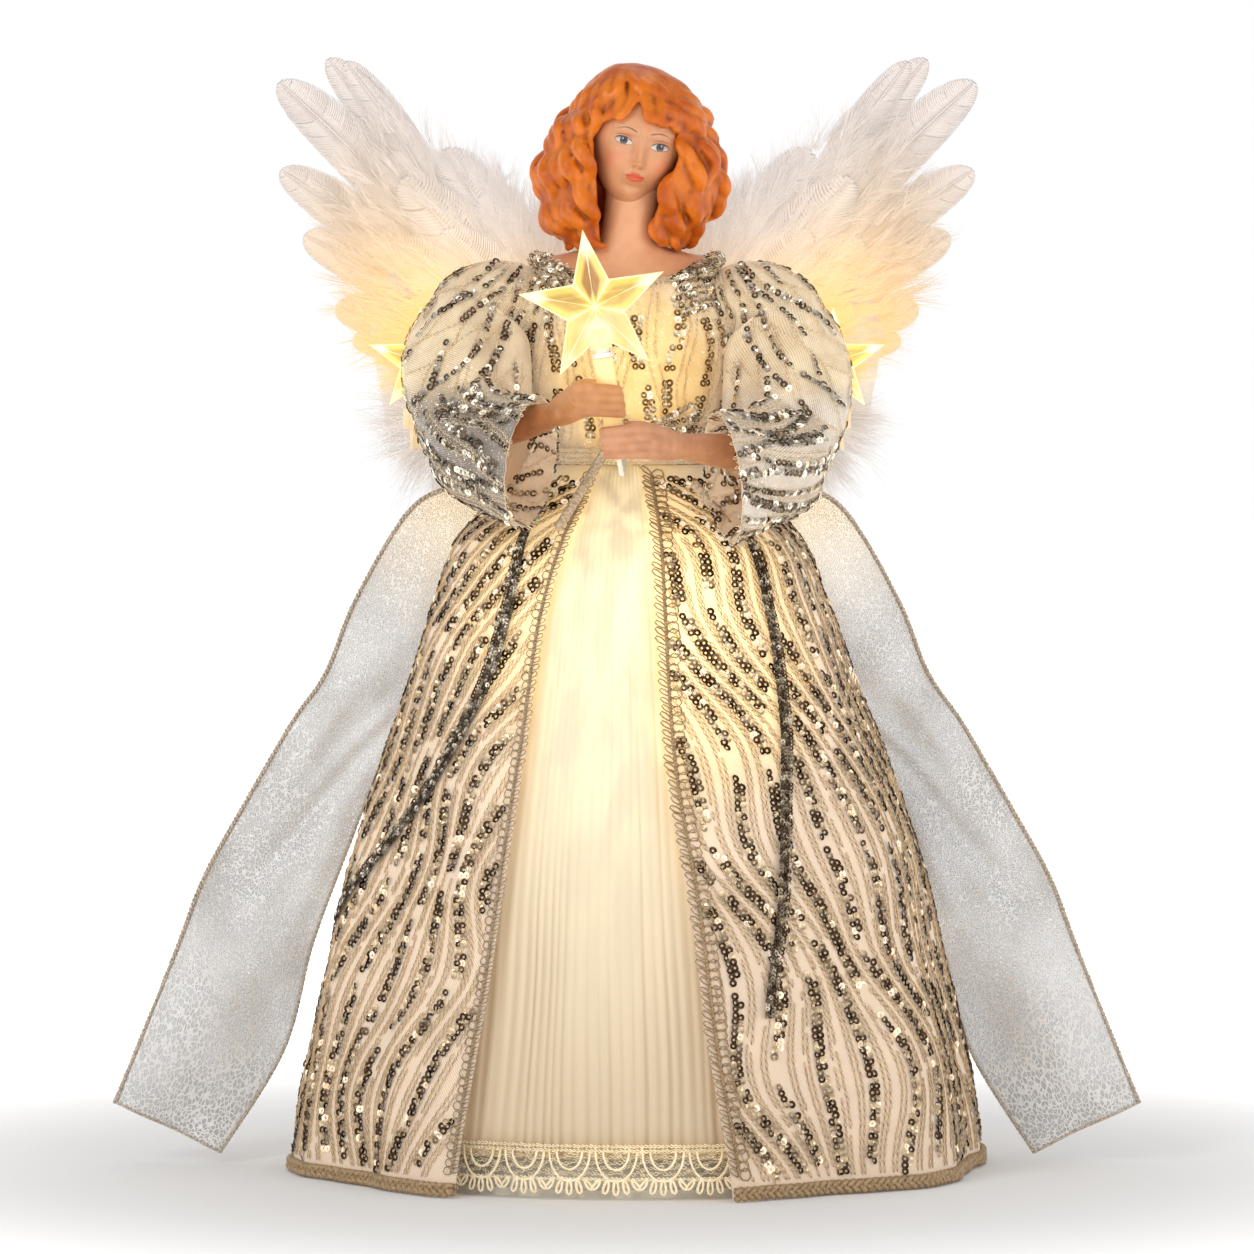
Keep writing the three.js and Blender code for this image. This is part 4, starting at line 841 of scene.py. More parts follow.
class DressBraids(bpy.types.Operator):
    """The braids of the robe's front edges and hem"""

    bl_idname = "angel.dress_braids"
    bl_label = "Braids"

    def execute(self, context):
        gold = metal_thread("Champagne braid", tint(182, 152, 112))
        silver = metal_thread("Silver beige braid", tint(176, 152, 120))
        share = np.linspace(0.035, 0.985, 220)
        girth = 2 * np.pi * skirt_width(share)
        for name, across, *look in (
            ("right", 3.2 * MM / girth, gold, 3.1 * MM, 2.1 * MM, 4.6 * MM, 0.3 * MM, -1),
            ("left", 1.0 - 1.8 * MM / girth, silver, 2.9 * MM, 1.9 * MM, 3.0 * MM, 0.24 * MM, 1),
        ):
            braid = braid_rows(f"{name}_edge_braid", across, share, *look)
            wear(braid, "root", "metal_braid", f"{name}_front_braid")
        across = np.linspace(0.001, 0.999, 840)
        path, up = on_surface(robe_point, across, np.full_like(across, 2.9 * MM / SKIRT_HEIGHT), 0.9 * MM)
        side = np.cross(up, unit(np.gradient(path, axis=0)))
        plait = []
        for strand in range(3):
            turn = (2 * np.pi * (distances(path) / (9 * MM) + strand / 3))[:, None]
            plait.append(path + side * 1.7 * MM * np.sin(turn) + up * 0.55 * MM * np.sin(2 * turn))
        pieces = [tubes("hem_plait", plait, 1.05 * MM, 6, gold)]
        for row, (height, side) in enumerate(((0.9 * MM, 1), (5.2 * MM, -1))):
            pieces.append(braid_rows(
                f"hem_loops_{row}", across, np.full_like(across, height / SKIRT_HEIGHT), gold, 2.6 * MM,
                1.6 * MM, 2.4 * MM, 0.3 * MM, sides=(side,), core=False,
            ))
        wear(joined("hem_braid", pieces), "root", "metal_braid", "robe_hem_braid")
        return {"FINISHED"}


# Wings. Each is laid out as the right one, about its post: out, back and up

WING_SIZE = mm(112, 106)  # out and up
WING_SWEEP = math.radians(6)


def wing_place(points, side):
    """Points of the right wing, about its post, put in their place on either wing."""
    joint = "right_wing_hinge" if side > 0 else "left_wing_hinge"
    post = next(j["pos_m"] for j in frame["record"]["behaviour"]["joints"] if j["name"] == joint)
    return rotated(points, WING_SWEEP, 0, 1) * (side, 1, 1) + post


def reshaped(piece, *steps):
    """Runs bmesh steps on a piece's mesh."""
    shape = bmesh.new()
    shape.from_mesh(piece.data)
    for step in steps:
        step(shape)
    shape.to_mesh(piece.data)
    shape.free()
    return piece


def face_out(shape):
    bmesh.ops.recalc_face_normals(shape, faces=shape.faces)


def turned_out(piece):
    """Makes every closed body of a piece face outwards."""
    return reshaped(piece, face_out)


def blade_faces(count, steps):
    """Faces of many three-sided blades of the same number of steps, closed at both ends."""
    first = np.arange(count)[:, None, None] * steps * 3
    last = (steps - 1) * 3
    quads = grid_faces(steps, 3, ring=True) + first
    caps = np.array([[2, 1, 0], [last, last + 1, last + 2]]) + first
    return [*quads.reshape(-1, 4), *caps.reshape(-1, 3)]


def vane(ends, half, depth, cup, rng, barbs=120, blunt=0.8):
    """One feather: its barbs as narrow blades, and its quill's path. Ends are root and tip, as shares."""
    root, tip = np.reshape(ends, (2, 2)) * WING_SIZE
    length = np.linalg.norm(tip - root)
    along = (tip - root) / length
    across = np.array([-along[1], along[0]])
    bow = 0.05 * length
    steps = 5
    rings, shades = [], []
    for side in (-1, 1):
        q = np.linspace(0.08, 0.997, barbs)
        clump = np.repeat(rng.uniform(-1, 1, barbs // 9 + 1), 9)[:barbs]
        end = q + 0.95 * half / length * (1 - q**5) + 0.006 * clump * (1 - q)
        rounding = np.clip((end - 0.66) / 0.34, 0, 1) ** 2.4
        full = smooth((end - 0.02) / 0.38) * np.sqrt(np.clip(1 - rounding, 0, 1))
        reach = half * full**blunt * rng.uniform(0.97, 1.0, barbs) * (1.0 if side > 0 else 0.88)
        t = np.linspace(0, 1, steps)[None, :]
        forward = (q[:, None] + (end - q)[:, None] * t**1.35) * length
        outward = side * reach[:, None] * np.sin(t * np.pi / 2 * 0.94) / math.sin(np.pi / 2 * 0.94)
        share = forward / length
        mid = bow * np.sin(np.pi * share)
        place = root + along * forward[..., None] + across * (outward + mid)[..., None]
        back = depth - cup * (outward / half) ** 2 - 0.5 * cup * share + 0.12 * MM * clump[:, None] * t
        spine = np.stack([place[..., 0], back, place[..., 1]], -1)
        ridge = np.array([0, -0.05 * MM, 0]) * (1 - 0.7 * t)[..., None]
        blade = 0.95 * length / barbs * (1 - 0.7 * t**4)
        edge = np.array([along[0], 0, along[1]]) * blade[..., None]
        rings.append(np.stack([spine - edge, spine + ridge, spine + edge], 2))
        shades.append(np.repeat(0.6 + 0.2 * clump + rng.uniform(-0.15, 0.15, barbs), steps * 3))
    q = np.linspace(0, 1.0, 14)
    path = root + along * (q * length)[:, None] + across * (bow * np.sin(np.pi * q))[:, None]
    quill = np.stack([path[:, 0], depth - 0.5 * cup * q - 0.35 * MM, path[:, 1]], -1)
    return np.concatenate(rings), np.concatenate(shades), quill


def feather_piece(name, feathers, side, finish):
    """Feathers of one wing as one piece."""
    blades, shades, quills = zip(*feathers)
    blades = np.concatenate(blades)
    faces = blade_faces(*blades.shape[:2])
    shade = np.concatenate(shades)
    vanes = solid(name, wing_place(blades.reshape(-1, 3), side), faces, finish, shade=shade)
    radius = [np.linspace(0.75, 0.18, len(q)) * MM for q in quills]
    stems = [wing_place(q, side) for q in quills]
    stems = tubes(name + "_quills", stems, radius, 6, finish, shade=[1.1] * len(quills))
    return turned_out(joined(name, [vanes, stems]))


# How far the down reaches: degrees above the outward direction, and millimetres from the shoulder
DOWN_REACH = [(-24, 52), (-8, 66), (8, 82), (20, 95), (31, 105), (44, 110), (52, 107), (58, 80), (66, 61),
              (76, 49), (92, 38), (110, 30)]
TUFT_SIZE = 9  # strands that spring from one place
TUFT_ROOT = (42 * MM, -26 * MM)  # out and up from the shoulder


def down_reach(angle):
    degrees, reach = np.array(DOWN_REACH, float).T
    return np.interp(np.degrees(angle), degrees, reach) * MM


def polar(angle, far, centre=(0, 0)):
    return np.stack([centre[0] + far * np.cos(angle), centre[1] + far * np.sin(angle)], -1)


def down_strands(roots, way, length, depth, rng, wander=0.16, facing=-1, points=4):
    """Tufts of curved strands from roots (out, up) along their ways, in radians: paths and shades."""
    count = len(roots)
    way = np.repeat(way + rng.normal(0, wander, count), TUFT_SIZE) + rng.normal(0, 0.08, count * TUFT_SIZE)
    roots = np.repeat(roots, TUFT_SIZE, 0) + rng.normal(0, 0.8 * MM, (count * TUFT_SIZE, 2))
    long = np.repeat(length * rng.uniform(0.6, 1.0, count), TUFT_SIZE) * rng.uniform(0.7, 1.0, len(way))
    bend = np.repeat(rng.normal(0, 0.2, count), TUFT_SIZE) + rng.normal(0, 0.05, len(way))
    rise = np.repeat(rng.uniform(0.02, 0.2, count), TUFT_SIZE)
    deep = np.repeat(depth + rng.uniform(-1.2, 1.2, count) * MM, TUFT_SIZE)
    heading = np.stack([np.cos(way), 0 * way, np.sin(way)], -1)[:, None]
    beside = np.stack([-np.sin(way), 0 * way, np.cos(way)], -1)[:, None]
    t = np.linspace(0, 1, points)[None, :, None]
    root = np.stack([roots[:, 0], deep, roots[:, 1]], -1)[:, None]
    path = root + (heading * t + beside * bend[:, None, None] * t**2) * long[:, None, None]
    path = path + np.array([0, facing, 0]) * (rise * long)[:, None, None] * np.sin(2.6 * t)
    shade = np.repeat(rng.uniform(0.1, 0.9, count), TUFT_SIZE) + rng.uniform(-0.3, 0.3, len(way))
    # Painted shade: each strand darkens towards its root, and lightens towards its tip.
    return path, np.clip(shade[:, None] + 0.5 * (t[0, :, 0] - 0.5), 0, 1)


def fluff(count, rng):
    """The soft down over the wing's middle, combed outwards from the shoulder."""
    angle = np.radians(rng.uniform(-22, 104, count))
    far = (down_reach(angle) - 12 * MM) * np.sqrt(rng.uniform(0.004, 1, count))
    return down_strands(polar(angle, far), angle + 0.1, 18 * MM, -6.5 * MM, rng)


def back_fluff(count, rng):
    """The down over the back of the wing's card."""
    angle = np.radians(rng.uniform(-34, 112, count))
    far = (down_reach(angle) * 0.8) * np.sqrt(rng.uniform(0.004, 1, count))
    return down_strands(polar(angle, far), angle + 0.1, 21 * MM, 9.5 * MM, rng, facing=1)


def fringe(count, rng):
    """The loose down along the edge of the fluff, thicker along the wing's top."""
    on_top = rng.uniform(0, 1, count) < 0.68
    angle = np.radians(np.where(on_top, rng.uniform(50, 106, count), rng.uniform(-20, 54, count)))
    far = down_reach(angle) - rng.uniform(1, 12, count) * MM
    return down_strands(polar(angle, far), angle + 0.14, 19 * MM, -4.5 * MM, rng, 0.24)


def lower_tuft(count, rng):
    """The fan of long down under the wing."""
    angle = np.radians(rng.uniform(-96, 14, count))
    far = rng.uniform(0, 15, count) * MM
    return down_strands(polar(angle, far, TUFT_ROOT), angle, 29 * MM, -3.0 * MM, rng, 0.14)


def strand_tree():
    """Turns paths into tapered three-sided strands."""
    tree, out = tree_with("Strands", Finish=("Material", None), Thickness=("Float", 0.1 * MM))
    curve = add_node(tree, "GeometryNodeMeshToCurve", {"Mesh": out["Geometry"]})
    ends = {"Value": add_node(tree, "GeometryNodeSplineParameter")["Factor"],
            "From Min": 0.3, "From Max": 1.0, "To Min": 1.0, "To Max": 0.25}
    taper = add_node(tree, "ShaderNodeMapRange", ends)
    circle = add_node(tree, "GeometryNodeCurvePrimitiveCircle", {"Resolution": 3, "Radius": out["Thickness"]})
    parts = {"Curve": curve[0], "Profile Curve": circle[0], "Scale": taper["Result"], "Fill Caps": True}
    return end_tree(tree, out, add_node(tree, "GeometryNodeCurveToMesh", parts)[0])


def strands(name, paths, shade, thickness, finish):
    piece = path_object(name, paths, np.zeros_like(paths))
    tone = piece.data.attributes.new("shade", "FLOAT", "POINT")
    tone.data.foreach_set("value", np.asarray(shade, np.float32).ravel())
    tree = bpy.data.node_groups.get("Strands") or strand_tree()
    return grown(piece, tree, Finish=finish, Thickness=thickness)


# Feathers as shares of span and rise: root out, root up, tip out, tip up, half width in millimetres, node
FLIGHT_SHARES = [
    (0.30, 0.10, 0.757, 0.99, 7.5, 0),
    (0.28, 0.08, 0.817, 1.0, 9.0, 1),
    (0.30, 0.05, 0.98, 0.92, 11.0, 2),
    (0.30, -0.02, 0.976, 0.613, 10.0, 3),
    (0.30, -0.03, 0.89, 0.515, 7.5, 0),
    (0.30, -0.05, 0.90, 0.386, 10.0, 4),
    (0.28, -0.09, 0.796, 0.137, 9.5, 5),
    (0.27, -0.10, 0.74, 0.02, 7.5, 0),
    (0.27, -0.12, 0.66, -0.10, 7.0, 0),
]
# Coverts have their depth in millimetres instead of a node
COVERT_SHARES = [
    (0.10, -0.06, 0.42, 0.68, 12.0, -0.6),
    (0.12, -0.10, 0.56, 0.58, 13.0, -1.2),
    (0.08, -0.04, 0.28, 0.54, 11.0, -1.6),
    (0.12, -0.14, 0.60, 0.36, 12.0, -2.0),
    (0.10, -0.12, 0.42, 0.40, 13.0, -2.6),
    (0.12, -0.18, 0.56, 0.14, 11.0, -2.4),
    (0.06, -0.08, 0.24, 0.34, 11.0, -3.2),
    (0.10, -0.20, 0.42, 0.14, 12.0, -3.4),
]


class DressWings(bpy.types.Operator):
    """Both wings: flight feathers, coverts and marabou"""

    bl_idname = "angel.dress_wings"
    bl_label = "Wings"

    def execute(self, context):
        settings = context.scene.angel_wings
        for side, name in SIDES:
            rng = np.random.default_rng(31 + side)
            finish = feather_finish(f"{name.title()} feather", settings, side)
            body = f"{name}_wing"
            for index, (*ends, half, node) in enumerate(FLIGHT_SHARES):
                made = vane(ends, half * MM, (1.8 + 0.55 * index) * MM, 1.6 * MM, rng)
                piece = feather_piece(f"{name}_flight_feather_{index + 1}", [made], side, finish)
                wear(piece, body, "feather", *([f"{name}_feather_{node}"] if node else []))
            coverts = [
                vane(ends, half * MM, depth * MM, 2.0 * MM, rng, barbs=54, blunt=0.7)
                for *ends, half, depth in COVERT_SHARES
            ]
            piece = feather_piece(f"{name}_coverts", coverts, side, finish)
            wear(piece, body, "feather", f"{name}_wing_down")
            down = down_finish(f"{name.title()} marabou", settings, side, settings.feather)
            white = down_finish(f"{name.title()} tuft", settings, side, tint(206, 205, 208), 0.22)
            for kind, (paths, shade), look, *nodes in (
                ("fluff", fluff(settings.fluff, rng), down),
                ("back_fluff", back_fluff(settings.back, rng), down),
                ("marabou", fringe(settings.fringe, rng), down),
                ("tuft", lower_tuft(settings.tuft, rng), white, f"{name}_wing_tuft"),
            ):
                piece = strands(f"{name}_{kind}", wing_place(paths, side), shade, settings.strand, look)
                wear(piece, body, "feather", *nodes)
        return {"FINISHED"}


class WingSettings(bpy.types.PropertyGroup):
    fluff: count_property("Fluff", "Tufts over each wing's middle", 370)
    back: count_property("Back fluff", "Tufts over each wing's back", 150)
    fringe: count_property("Fringe", "Tufts along each wing's edge", 250)
    tuft: count_property("Tuft", "Tufts in each lower fan", 190)
    strand: size_property("Strand", "Radius of a strand of down", 0.14 * MM, 5)
    feather: colour_property("Feather", "Colour of the feathers", 207, 196, 189)
    glow: colour_property("Lamplight", "Colour of the light through the feathers", 255, 210, 124)


def wing_light(finish, settings, side, base, warm=1.0):
    """Pale light through the whole wing, warmer towards the lamp behind the shoulder. The base colour itself
    is painted: warm near the lamp, and a pale cool grey near the wing's top, where the lamp's warmth is taken
    out.
    """
    # Painted cool light: a pale cool grey near the wing's top, where the lamp's warmth is taken out.
    cool_light_spot = finish.near((side * 44 * MM, 0.04, 0.366), 0.074)
    near = finish.times(finish.near((side * 68 * MM, 0.04, 0.29), 0.115), warm)
    near = finish.times(near, finish.range(cool_light_spot, 0.0, 1.0, 1.0, 0.3))
    base = finish.mix(cool_light_spot, base, tint(226, 222, 222))
    finish.set("Base Color", finish.mix(near, base, tint(226, 196, 142)))
    lamp = finish.times(finish.near((side * 66 * MM, 0.04, 0.312), 0.058), 0.3 * warm)
    strength = finish.plus(finish.plus(finish.times(near, 0.12), lamp), 0.23)
    finish.glow(finish.mix(near, tint(242, 240, 240), settings.glow), strength)


def feather_finish(name, settings, side):
    finish = Finish(name, Roughness=0.75, Sheen_Weight=0.2, Sheen_Roughness=0.4)
    finish.bump(finish.noise(900.0, 2.0), 0.00008)
    dark = toned(settings.feather, 0.86, 0.82, 0.80)
    wing_light(finish, settings, side, finish.fade(finish.value("shade"), 0.1, 0.9, dark, settings.feather))
    return finish.material


def down_finish(name, settings, side, tone, warm=1.0):
    finish = Finish(name, Roughness=0.9, Sheen_Weight=0.2)
    finish.bump(finish.noise(900.0, 2.0), 0.00003)
    dark, white = toned(tone, 0.72, 0.72, 0.74), toned(tone, 1.35)
    wing_light(finish, settings, side, finish.fade(finish.value("shade"), 0.0, 1.0, dark, white), warm)
    return finish.material


# Ribbons: each row gives the outer and the inner edge, out and down from the knot, and how far back

RIBBON_SHARES = np.array([
    [0, 0, 0, 0.02, 0],
    [0.157, 0.02, 0.152, 0.075, 0.1],
    [0.31, 0.06, 0.28, 0.115, 0.03],
    [0.41, 0.1, 0.32, 0.165, 0.03],
    [0.517, 0.225, 0.355, 0.285, 0.1],
    [0.578, 0.33, 0.41, 0.39, 0.13],
    [0.65, 0.405, 0.475, 0.475, 0.06],
    [0.753, 0.53, 0.537, 0.585, -0.05],
    [0.823, 0.62, 0.605, 0.715, -0.05],
    [0.877, 0.72, 0.66, 0.86, -0.3],
    [0.995, 0.93, 0.785, 1, -0.7],
])
# How far a ribbon reaches out, how high its tip hangs, and how far it sways back
RIBBON_REACH, RIBBON_LIFT, RIBBON_SWAY = 184 * MM, 4 * MM, 38 * MM
KNOT_RADIUS = (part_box("ribbon_knot")[1].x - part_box("ribbon_knot")[0].x) / 2


def ribbon_point(across, share, side=1):
    """A point of a ribbon: share runs from knot to tip, and across from the outer edge to the inner one."""
    knot = middle("ribbon_knot")
    across, share = np.broadcast_arrays(across, share)
    row = spline(RIBBON_SHARES, share)
    top = knot.z + KNOT_RADIUS / 2
    out = row[..., 0] + across * (row[..., 2] - row[..., 0])
    down = row[..., 1] + across * (row[..., 3] - row[..., 1])
    crease = 1.6 * MM * share * np.sin(5 * np.pi * (share + across / 2))
    ruck = smooth((share - 0.45) / 0.1) * smooth((0.86 - share) / 0.1)
    fine = 1.1 * MM * ruck * np.sin(26 * share + 5 * across + 2 * np.sin(9 * across + 11 * share))
    fine = fine + 0.5 * MM * share * np.sin(43 * share - 7 * across)
    x = KNOT_RADIUS + 0.3 * MM + out * RIBBON_REACH
    y = knot.y + row[..., 4] * RIBBON_SWAY + crease + fine
    return np.stack([side * x, y, top - down * (top - RIBBON_LIFT)], -1)


class HangRibbons(bpy.types.Operator):
    """The two sheer ribbons, with braided edges, and the knot that ties them"""

    bl_idname = "angel.hang_ribbons"
    bl_label = "Ribbons"

    def execute(self, context):
        mesh = ribbon_finish()
        cord = mottled(
            "Ribbon edge", tint(150, 132, 112), tint(222, 208, 190), 1500.0, Roughness=0.5, Metallic=0.2,
        )
        for side, name in SIDES:
            outer = ribbon_point(np.linspace(0, 1, 30)[None, :], np.linspace(0.0, 1, 150)[:, None], side)
            sheet = cloth(f"{name}_sheer_ribbon", outer[:, ::side], mesh, wall=0.35 * MM, size=(0.06, 0.36))
            wear(sheet, "root", "ribbon_mesh", f"{name}_ribbon")
            edges, thick = [], []
            for edge, half in ((0.0, 0.95), (1.0, 0.6)):
                share = np.linspace(0.006, 1, 420)
                path = ribbon_point(np.full_like(share, edge), share, side)
                over = unit(np.cross(unit(np.gradient(path, axis=0)), [0, 1, 0]))
                for phase in (0, math.pi):
                    turn = (2 * np.pi * distances(path) / (3.6 * MM) + phase)[:, None]
                    offset = over * np.cos(turn) + np.array([0, 1, 0]) * np.sin(turn)
                    edges.append(path + offset * 0.5 * half * MM)
                    thick.append(0.62 * half * MM)
            edges.append(ribbon_point(np.linspace(0, 1, 40), np.full(40, 0.999), side))
            thick.append(0.5 * MM)
            wear(tubes(f"{name}_ribbon_edge", edges, thick, 5, cord.material), "root", "metal_braid")
        t = np.linspace(0, 2 * np.pi, 33)[:-1]
        turns = []
        for lean in 0.63 * np.arange(5):
            circle = np.stack([np.cos(t) * np.cos(lean), np.cos(t) * np.sin(lean), np.sin(t)], -1)
            turns.append(np.array(middle("ribbon_knot")) + circle * (KNOT_RADIUS - 1.2 * MM))
        tied = tubes("tied_knot", turns, 1.5 * MM, 10, mesh, closed=True)
        wear(fused("tied_knot", [tied], 0.5 * MM, 2), "root", "ribbon_mesh", "ribbon_knot")
        return {"FINISHED"}


def ribbon_finish():
    finish = Finish("Sheer knit ribbon", Metallic=0.25, Roughness=0.42)
    inputs = {"Vector": finish.cloth_place(), "Scale": 620.0}
    edge = finish.node("ShaderNodeTexVoronoi", inputs, feature="DISTANCE_TO_EDGE")["Distance"]
    net = finish.range(edge, 0.05, 0.22, 1.0, 0.0)
    # Broad lengthwise streaks of painted fold shade darken the knit, over its net pattern.
    fold = finish.noise(16.0, 2.0, finish.stretched(1.0, 3.0, 1.0))
    shade = finish.plus(finish.times(net, 0.45), finish.times(fold, 0.55))
    finish.set("Base Color", finish.fade(shade, 0.2, 0.75, tint(164, 162, 160), tint(242, 240, 237)))
    drift = finish.range(finish.noise(34.0, 3.0), 0.3, 0.7, 0.42, 0.58)
    finish.set("Alpha", finish.plus(finish.times(net, 0.38), drift))
    finish.bump(net, 0.0003, 0.6)
    finish.lit(tint(255, 216, 140), [((side * 58 * MM, 0.03, 0.25), 0.07, 0.4) for side in (-1, 1)])
    return finish.material


def fused(name, pieces, voxel, rounds):
    """Overlapping closed bodies made one smooth body."""
    piece = joined(name, pieces) if len(pieces) > 1 else pieces[0]
    piece.name = name
    material = piece.data.materials[0]
    shell = piece.modifiers.new("Fuse", "REMESH")
    shell.mode = "VOXEL"
    shell.voxel_size = voxel
    soften = piece.modifiers.new("Soften", "SMOOTH")
    soften.factor = 0.5
    soften.iterations = rounds
    whole = plain_mesh(piece)
    whole.data.materials.clear()
    whole.data.materials.append(material)
    whole.data.polygons.foreach_set("use_smooth", [True] * len(whole.data.polygons))
    return whole


# Stars and candle

def star_light(share, ridge, arm, across, up):
    """The light painted on the star's face, as colours at places on it: share from the centre out, ridge 1
    along an arm's middle.
    Arm 0 points up and 1 and 4 to the sides. Across and up are from the centre, as shares."""
    # For each arm: how much darker amber shade is painted in its middle, and how hot its painted glow is.
    amber = (1.0, 0.55, 0.12, 0.18, 0.45)[arm]
    heat = (1.0, 1.0, 0.45, 0.35, 1.0)[arm]
    window = smooth((share - 0.12) / 0.15) * smooth((0.80 - share) / 0.2) * smooth((ridge - 0.12) / 0.2)
    # Painted white-hot glow near the tips, at the centre, and over the bulb below it.
    hot = heat * smooth((share * ridge - 0.52) / 0.22) + 0.6 * smooth((0.16 - share) / 0.14)
    hot = np.minimum(1.0, hot + 1.1 * np.exp(-((np.hypot(across, up + 0.33) / 0.16) ** 2)))
    # Bright painted highlights along the rim and the ridges.
    line = np.maximum(1.0 * (share > 0.94), np.maximum(0.8 * (ridge > 0.955), 0.75 * (ridge < 0.05)))
    colour = blend(np.array(tint(252, 218, 112)), tint(244, 214, 140), (1 - heat) * smooth(share * 2))
    colour = blend(colour, tint(176, 124, 56), amber * window)
    colour = blend(colour, tint(255, 251, 226), hot)
    return blend(colour, tint(255, 248, 198), line)


def star_finish(name, strength):
    finish = Finish(name, Roughness=0.12, IOR=1.49, Coat_Weight=0.5, Coat_Roughness=0.08)
    light = finish.value("light", "Color")
    finish.set("Base Color", finish.mix(0.72, light, tint(60, 44, 20)))
    finish.glow(light, finish.range(finish.noise(130.0), 0.3, 0.7, 0.74 * strength, 0.94 * strength))
    return finish.material


def star_body(name, centre, radius, half, tilt, finish):
    """A moulded star: ten ridged facets on each face, with sunk windows near the centre and a raised rim."""
    turn = np.pi / 2 + np.pi * np.arange(10) / 5
    reach = np.where(np.arange(10) % 2, 0.4 * radius, radius)
    outline = (np.stack([np.cos(turn), np.sin(turn)]) * reach).T
    rows = 24
    share, t = np.meshgrid(np.arange(rows + 1) / rows, np.arange(rows + 1) / rows, indexing="ij")
    points, faces, light = [], [], []
    for face in (-1, 1):
        for i in range(10):
            x, z = ((a * (1 - t) + b * t) * share for a, b in zip(outline[i], outline[(i + 1) % 10]))
            ridge = t if i % 2 else 1 - t
            sunk = smooth((0.55 - share) / 0.1) * smooth((share - 0.12) / 0.06) * smooth((1 - ridge) / 0.2)
            relief = 0.8 * share + 0.5 * smooth((share - 0.92) / 0.05) - 0.5 * sunk
            height = half * (1 - share) + relief * MM
            start = len(points) * share.size
            faces += (grid_faces(rows + 1, rows + 1)[:, ::face] + start).tolist()
            points.append(np.stack([x, face * height, z], -1).reshape(-1, 3))
            light.append(star_light(share, ridge, (i + 1) // 2 % 5, x / radius, z / radius).reshape(-1, 3))
    side = len(points) * share.size
    faces += (grid_faces(2, rows * 10, ring=True) + side).tolist()
    t = (np.arange(rows) / rows)[None, :, None]
    rim = (outline[:, None] * (1 - t) + np.roll(outline, -1, 0)[:, None] * t).reshape(-1, 2)
    for face in (-1, 1):
        points.append(np.stack([rim[:, 0], np.full(len(rim), face * 1.3 * MM), rim[:, 1]], -1))
        light.append(np.full((len(rim), 3), tint(255, 236, 160)))
    place = rotated(np.concatenate(points), tilt) + np.array(centre)
    piece = solid(name, place, faces, finish, flat=True, light=np.concatenate(light))
    return reshaped(piece, lambda s: bmesh.ops.remove_doubles(s, verts=s.verts, dist=1e-6), face_out)


def star_collar(ends, radius, finish):
    collar = tubes("collar", [ends], radius, 20, finish)
    light = collar.data.attributes.new("light", "FLOAT_COLOR", "POINT")
    light.data.foreach_set("color", [*tint(255, 240, 180), 1.0] * len(collar.data.vertices))
    return collar


CANDLE_TILT = math.radians(9)
CANDLE_UP = np.array([-math.sin(CANDLE_TILT), 0, math.cos(CANDLE_TILT)])
CANDLE_FOOT = mm(-2.9, -92, 262.5)
CANDLE_LENGTH = 36 * MM


class LightStars(bpy.types.Operator):
    """The star in her hands, set above its candle, and the two side stars, with their collars"""

    bl_idname = "angel.light_stars"
    bl_label = "Stars and candle"

    def execute(self, context):
        lit = star_finish("Lit star", 1.0)
        seat = CANDLE_FOOT + CANDLE_UP * (CANDLE_LENGTH + 18.6 * MM)
        parts = [star_body("hand_star_moulding", seat, 27.5 * MM, 5.2 * MM, CANDLE_TILT, lit)]
        for low, high, radius in ((-15.0, -8.0, 3.7), (-15.2, -14.4, 4.0), (-8.6, -7.8, 3.9)):
            parts.append(star_collar([seat + CANDLE_UP * h * MM for h in (low, high)], radius * MM, lit))
        wear(joined("hand_star_moulding", parts), "hand_star", "star_plastic", "hand_star")
        for _, name in SIDES:
            node = f"{name}_side_star"
            place = Vector((*middle(node).xy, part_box(node)[1].z - 20 * MM))
            look = star_finish(f"{name} lit star", 1.25)
            body = star_body(node + "_moulding", place, 20 * MM, 4.6 * MM, 0.0, look)
            foot = star_collar([place - Vector((0, 0, drop * MM)) for drop in (12, 6)], 4.2 * MM, look)
            wear(joined(body.name, [body, foot]), node, "star_plastic", node)
        return {"FINISHED"}


# Sleeves

def shoulder_point(side):
    return mm(side * 33, -2, 315)


ELBOW_DROP = {-1: 45 * MM, 1: 53 * MM}
WRIST = {-1: CANDLE_FOOT + mm(-24, 13, 15), 1: CANDLE_FOOT + mm(23, 12, 4)}
CUFF_SHARE = {-1: 0.7, 1: 0.55}
CUFF_SAG_SHARE = {-1: 1.0, 1: 0.65}
PUFF_RADIUS = 22.5 * MM
# Points along a puff's middle, as shares: out, forward and down from the shoulder, and its size there
UPPER_SHARES = [
    (-0.1, 0, 0.14, 0.56), (0.55, 0.03, 0.02, 0.78), (1.1, 0.11, 0.2, 0.95), (1.3, 0.37, 0.57, 1),
    (1.2, 0.71, 0.89, 0.94),
]
# And on along the cuff: how far towards the wrist, how far it sags, and its size there
CUFF_SHARES = [(0.12, 0.45, 0.9), (0.6, 0.85, 0.95), (1, 1, 1)]
GRIP_RISE = {-1: 21 * MM, 1: 6 * MM}
CUFF_ROWS = 13
SHOULDER_SEAM = (28 * MM, 344 * MM)  # out and up: where the sleeve's gathers run together
# Dark and light colour of each cuff's grey tulle; the left cuff is painted darker, as shade.
CUFF_COLOURS_LEFT_SHADED = {-1: ((88, 74, 60), (150, 134, 116)), 1: ((176, 156, 134), (232, 218, 200))}


def elbow_point(side):
    return shoulder_point(side) + np.array([side * 19 * MM, -49 * MM, -ELBOW_DROP[side]])


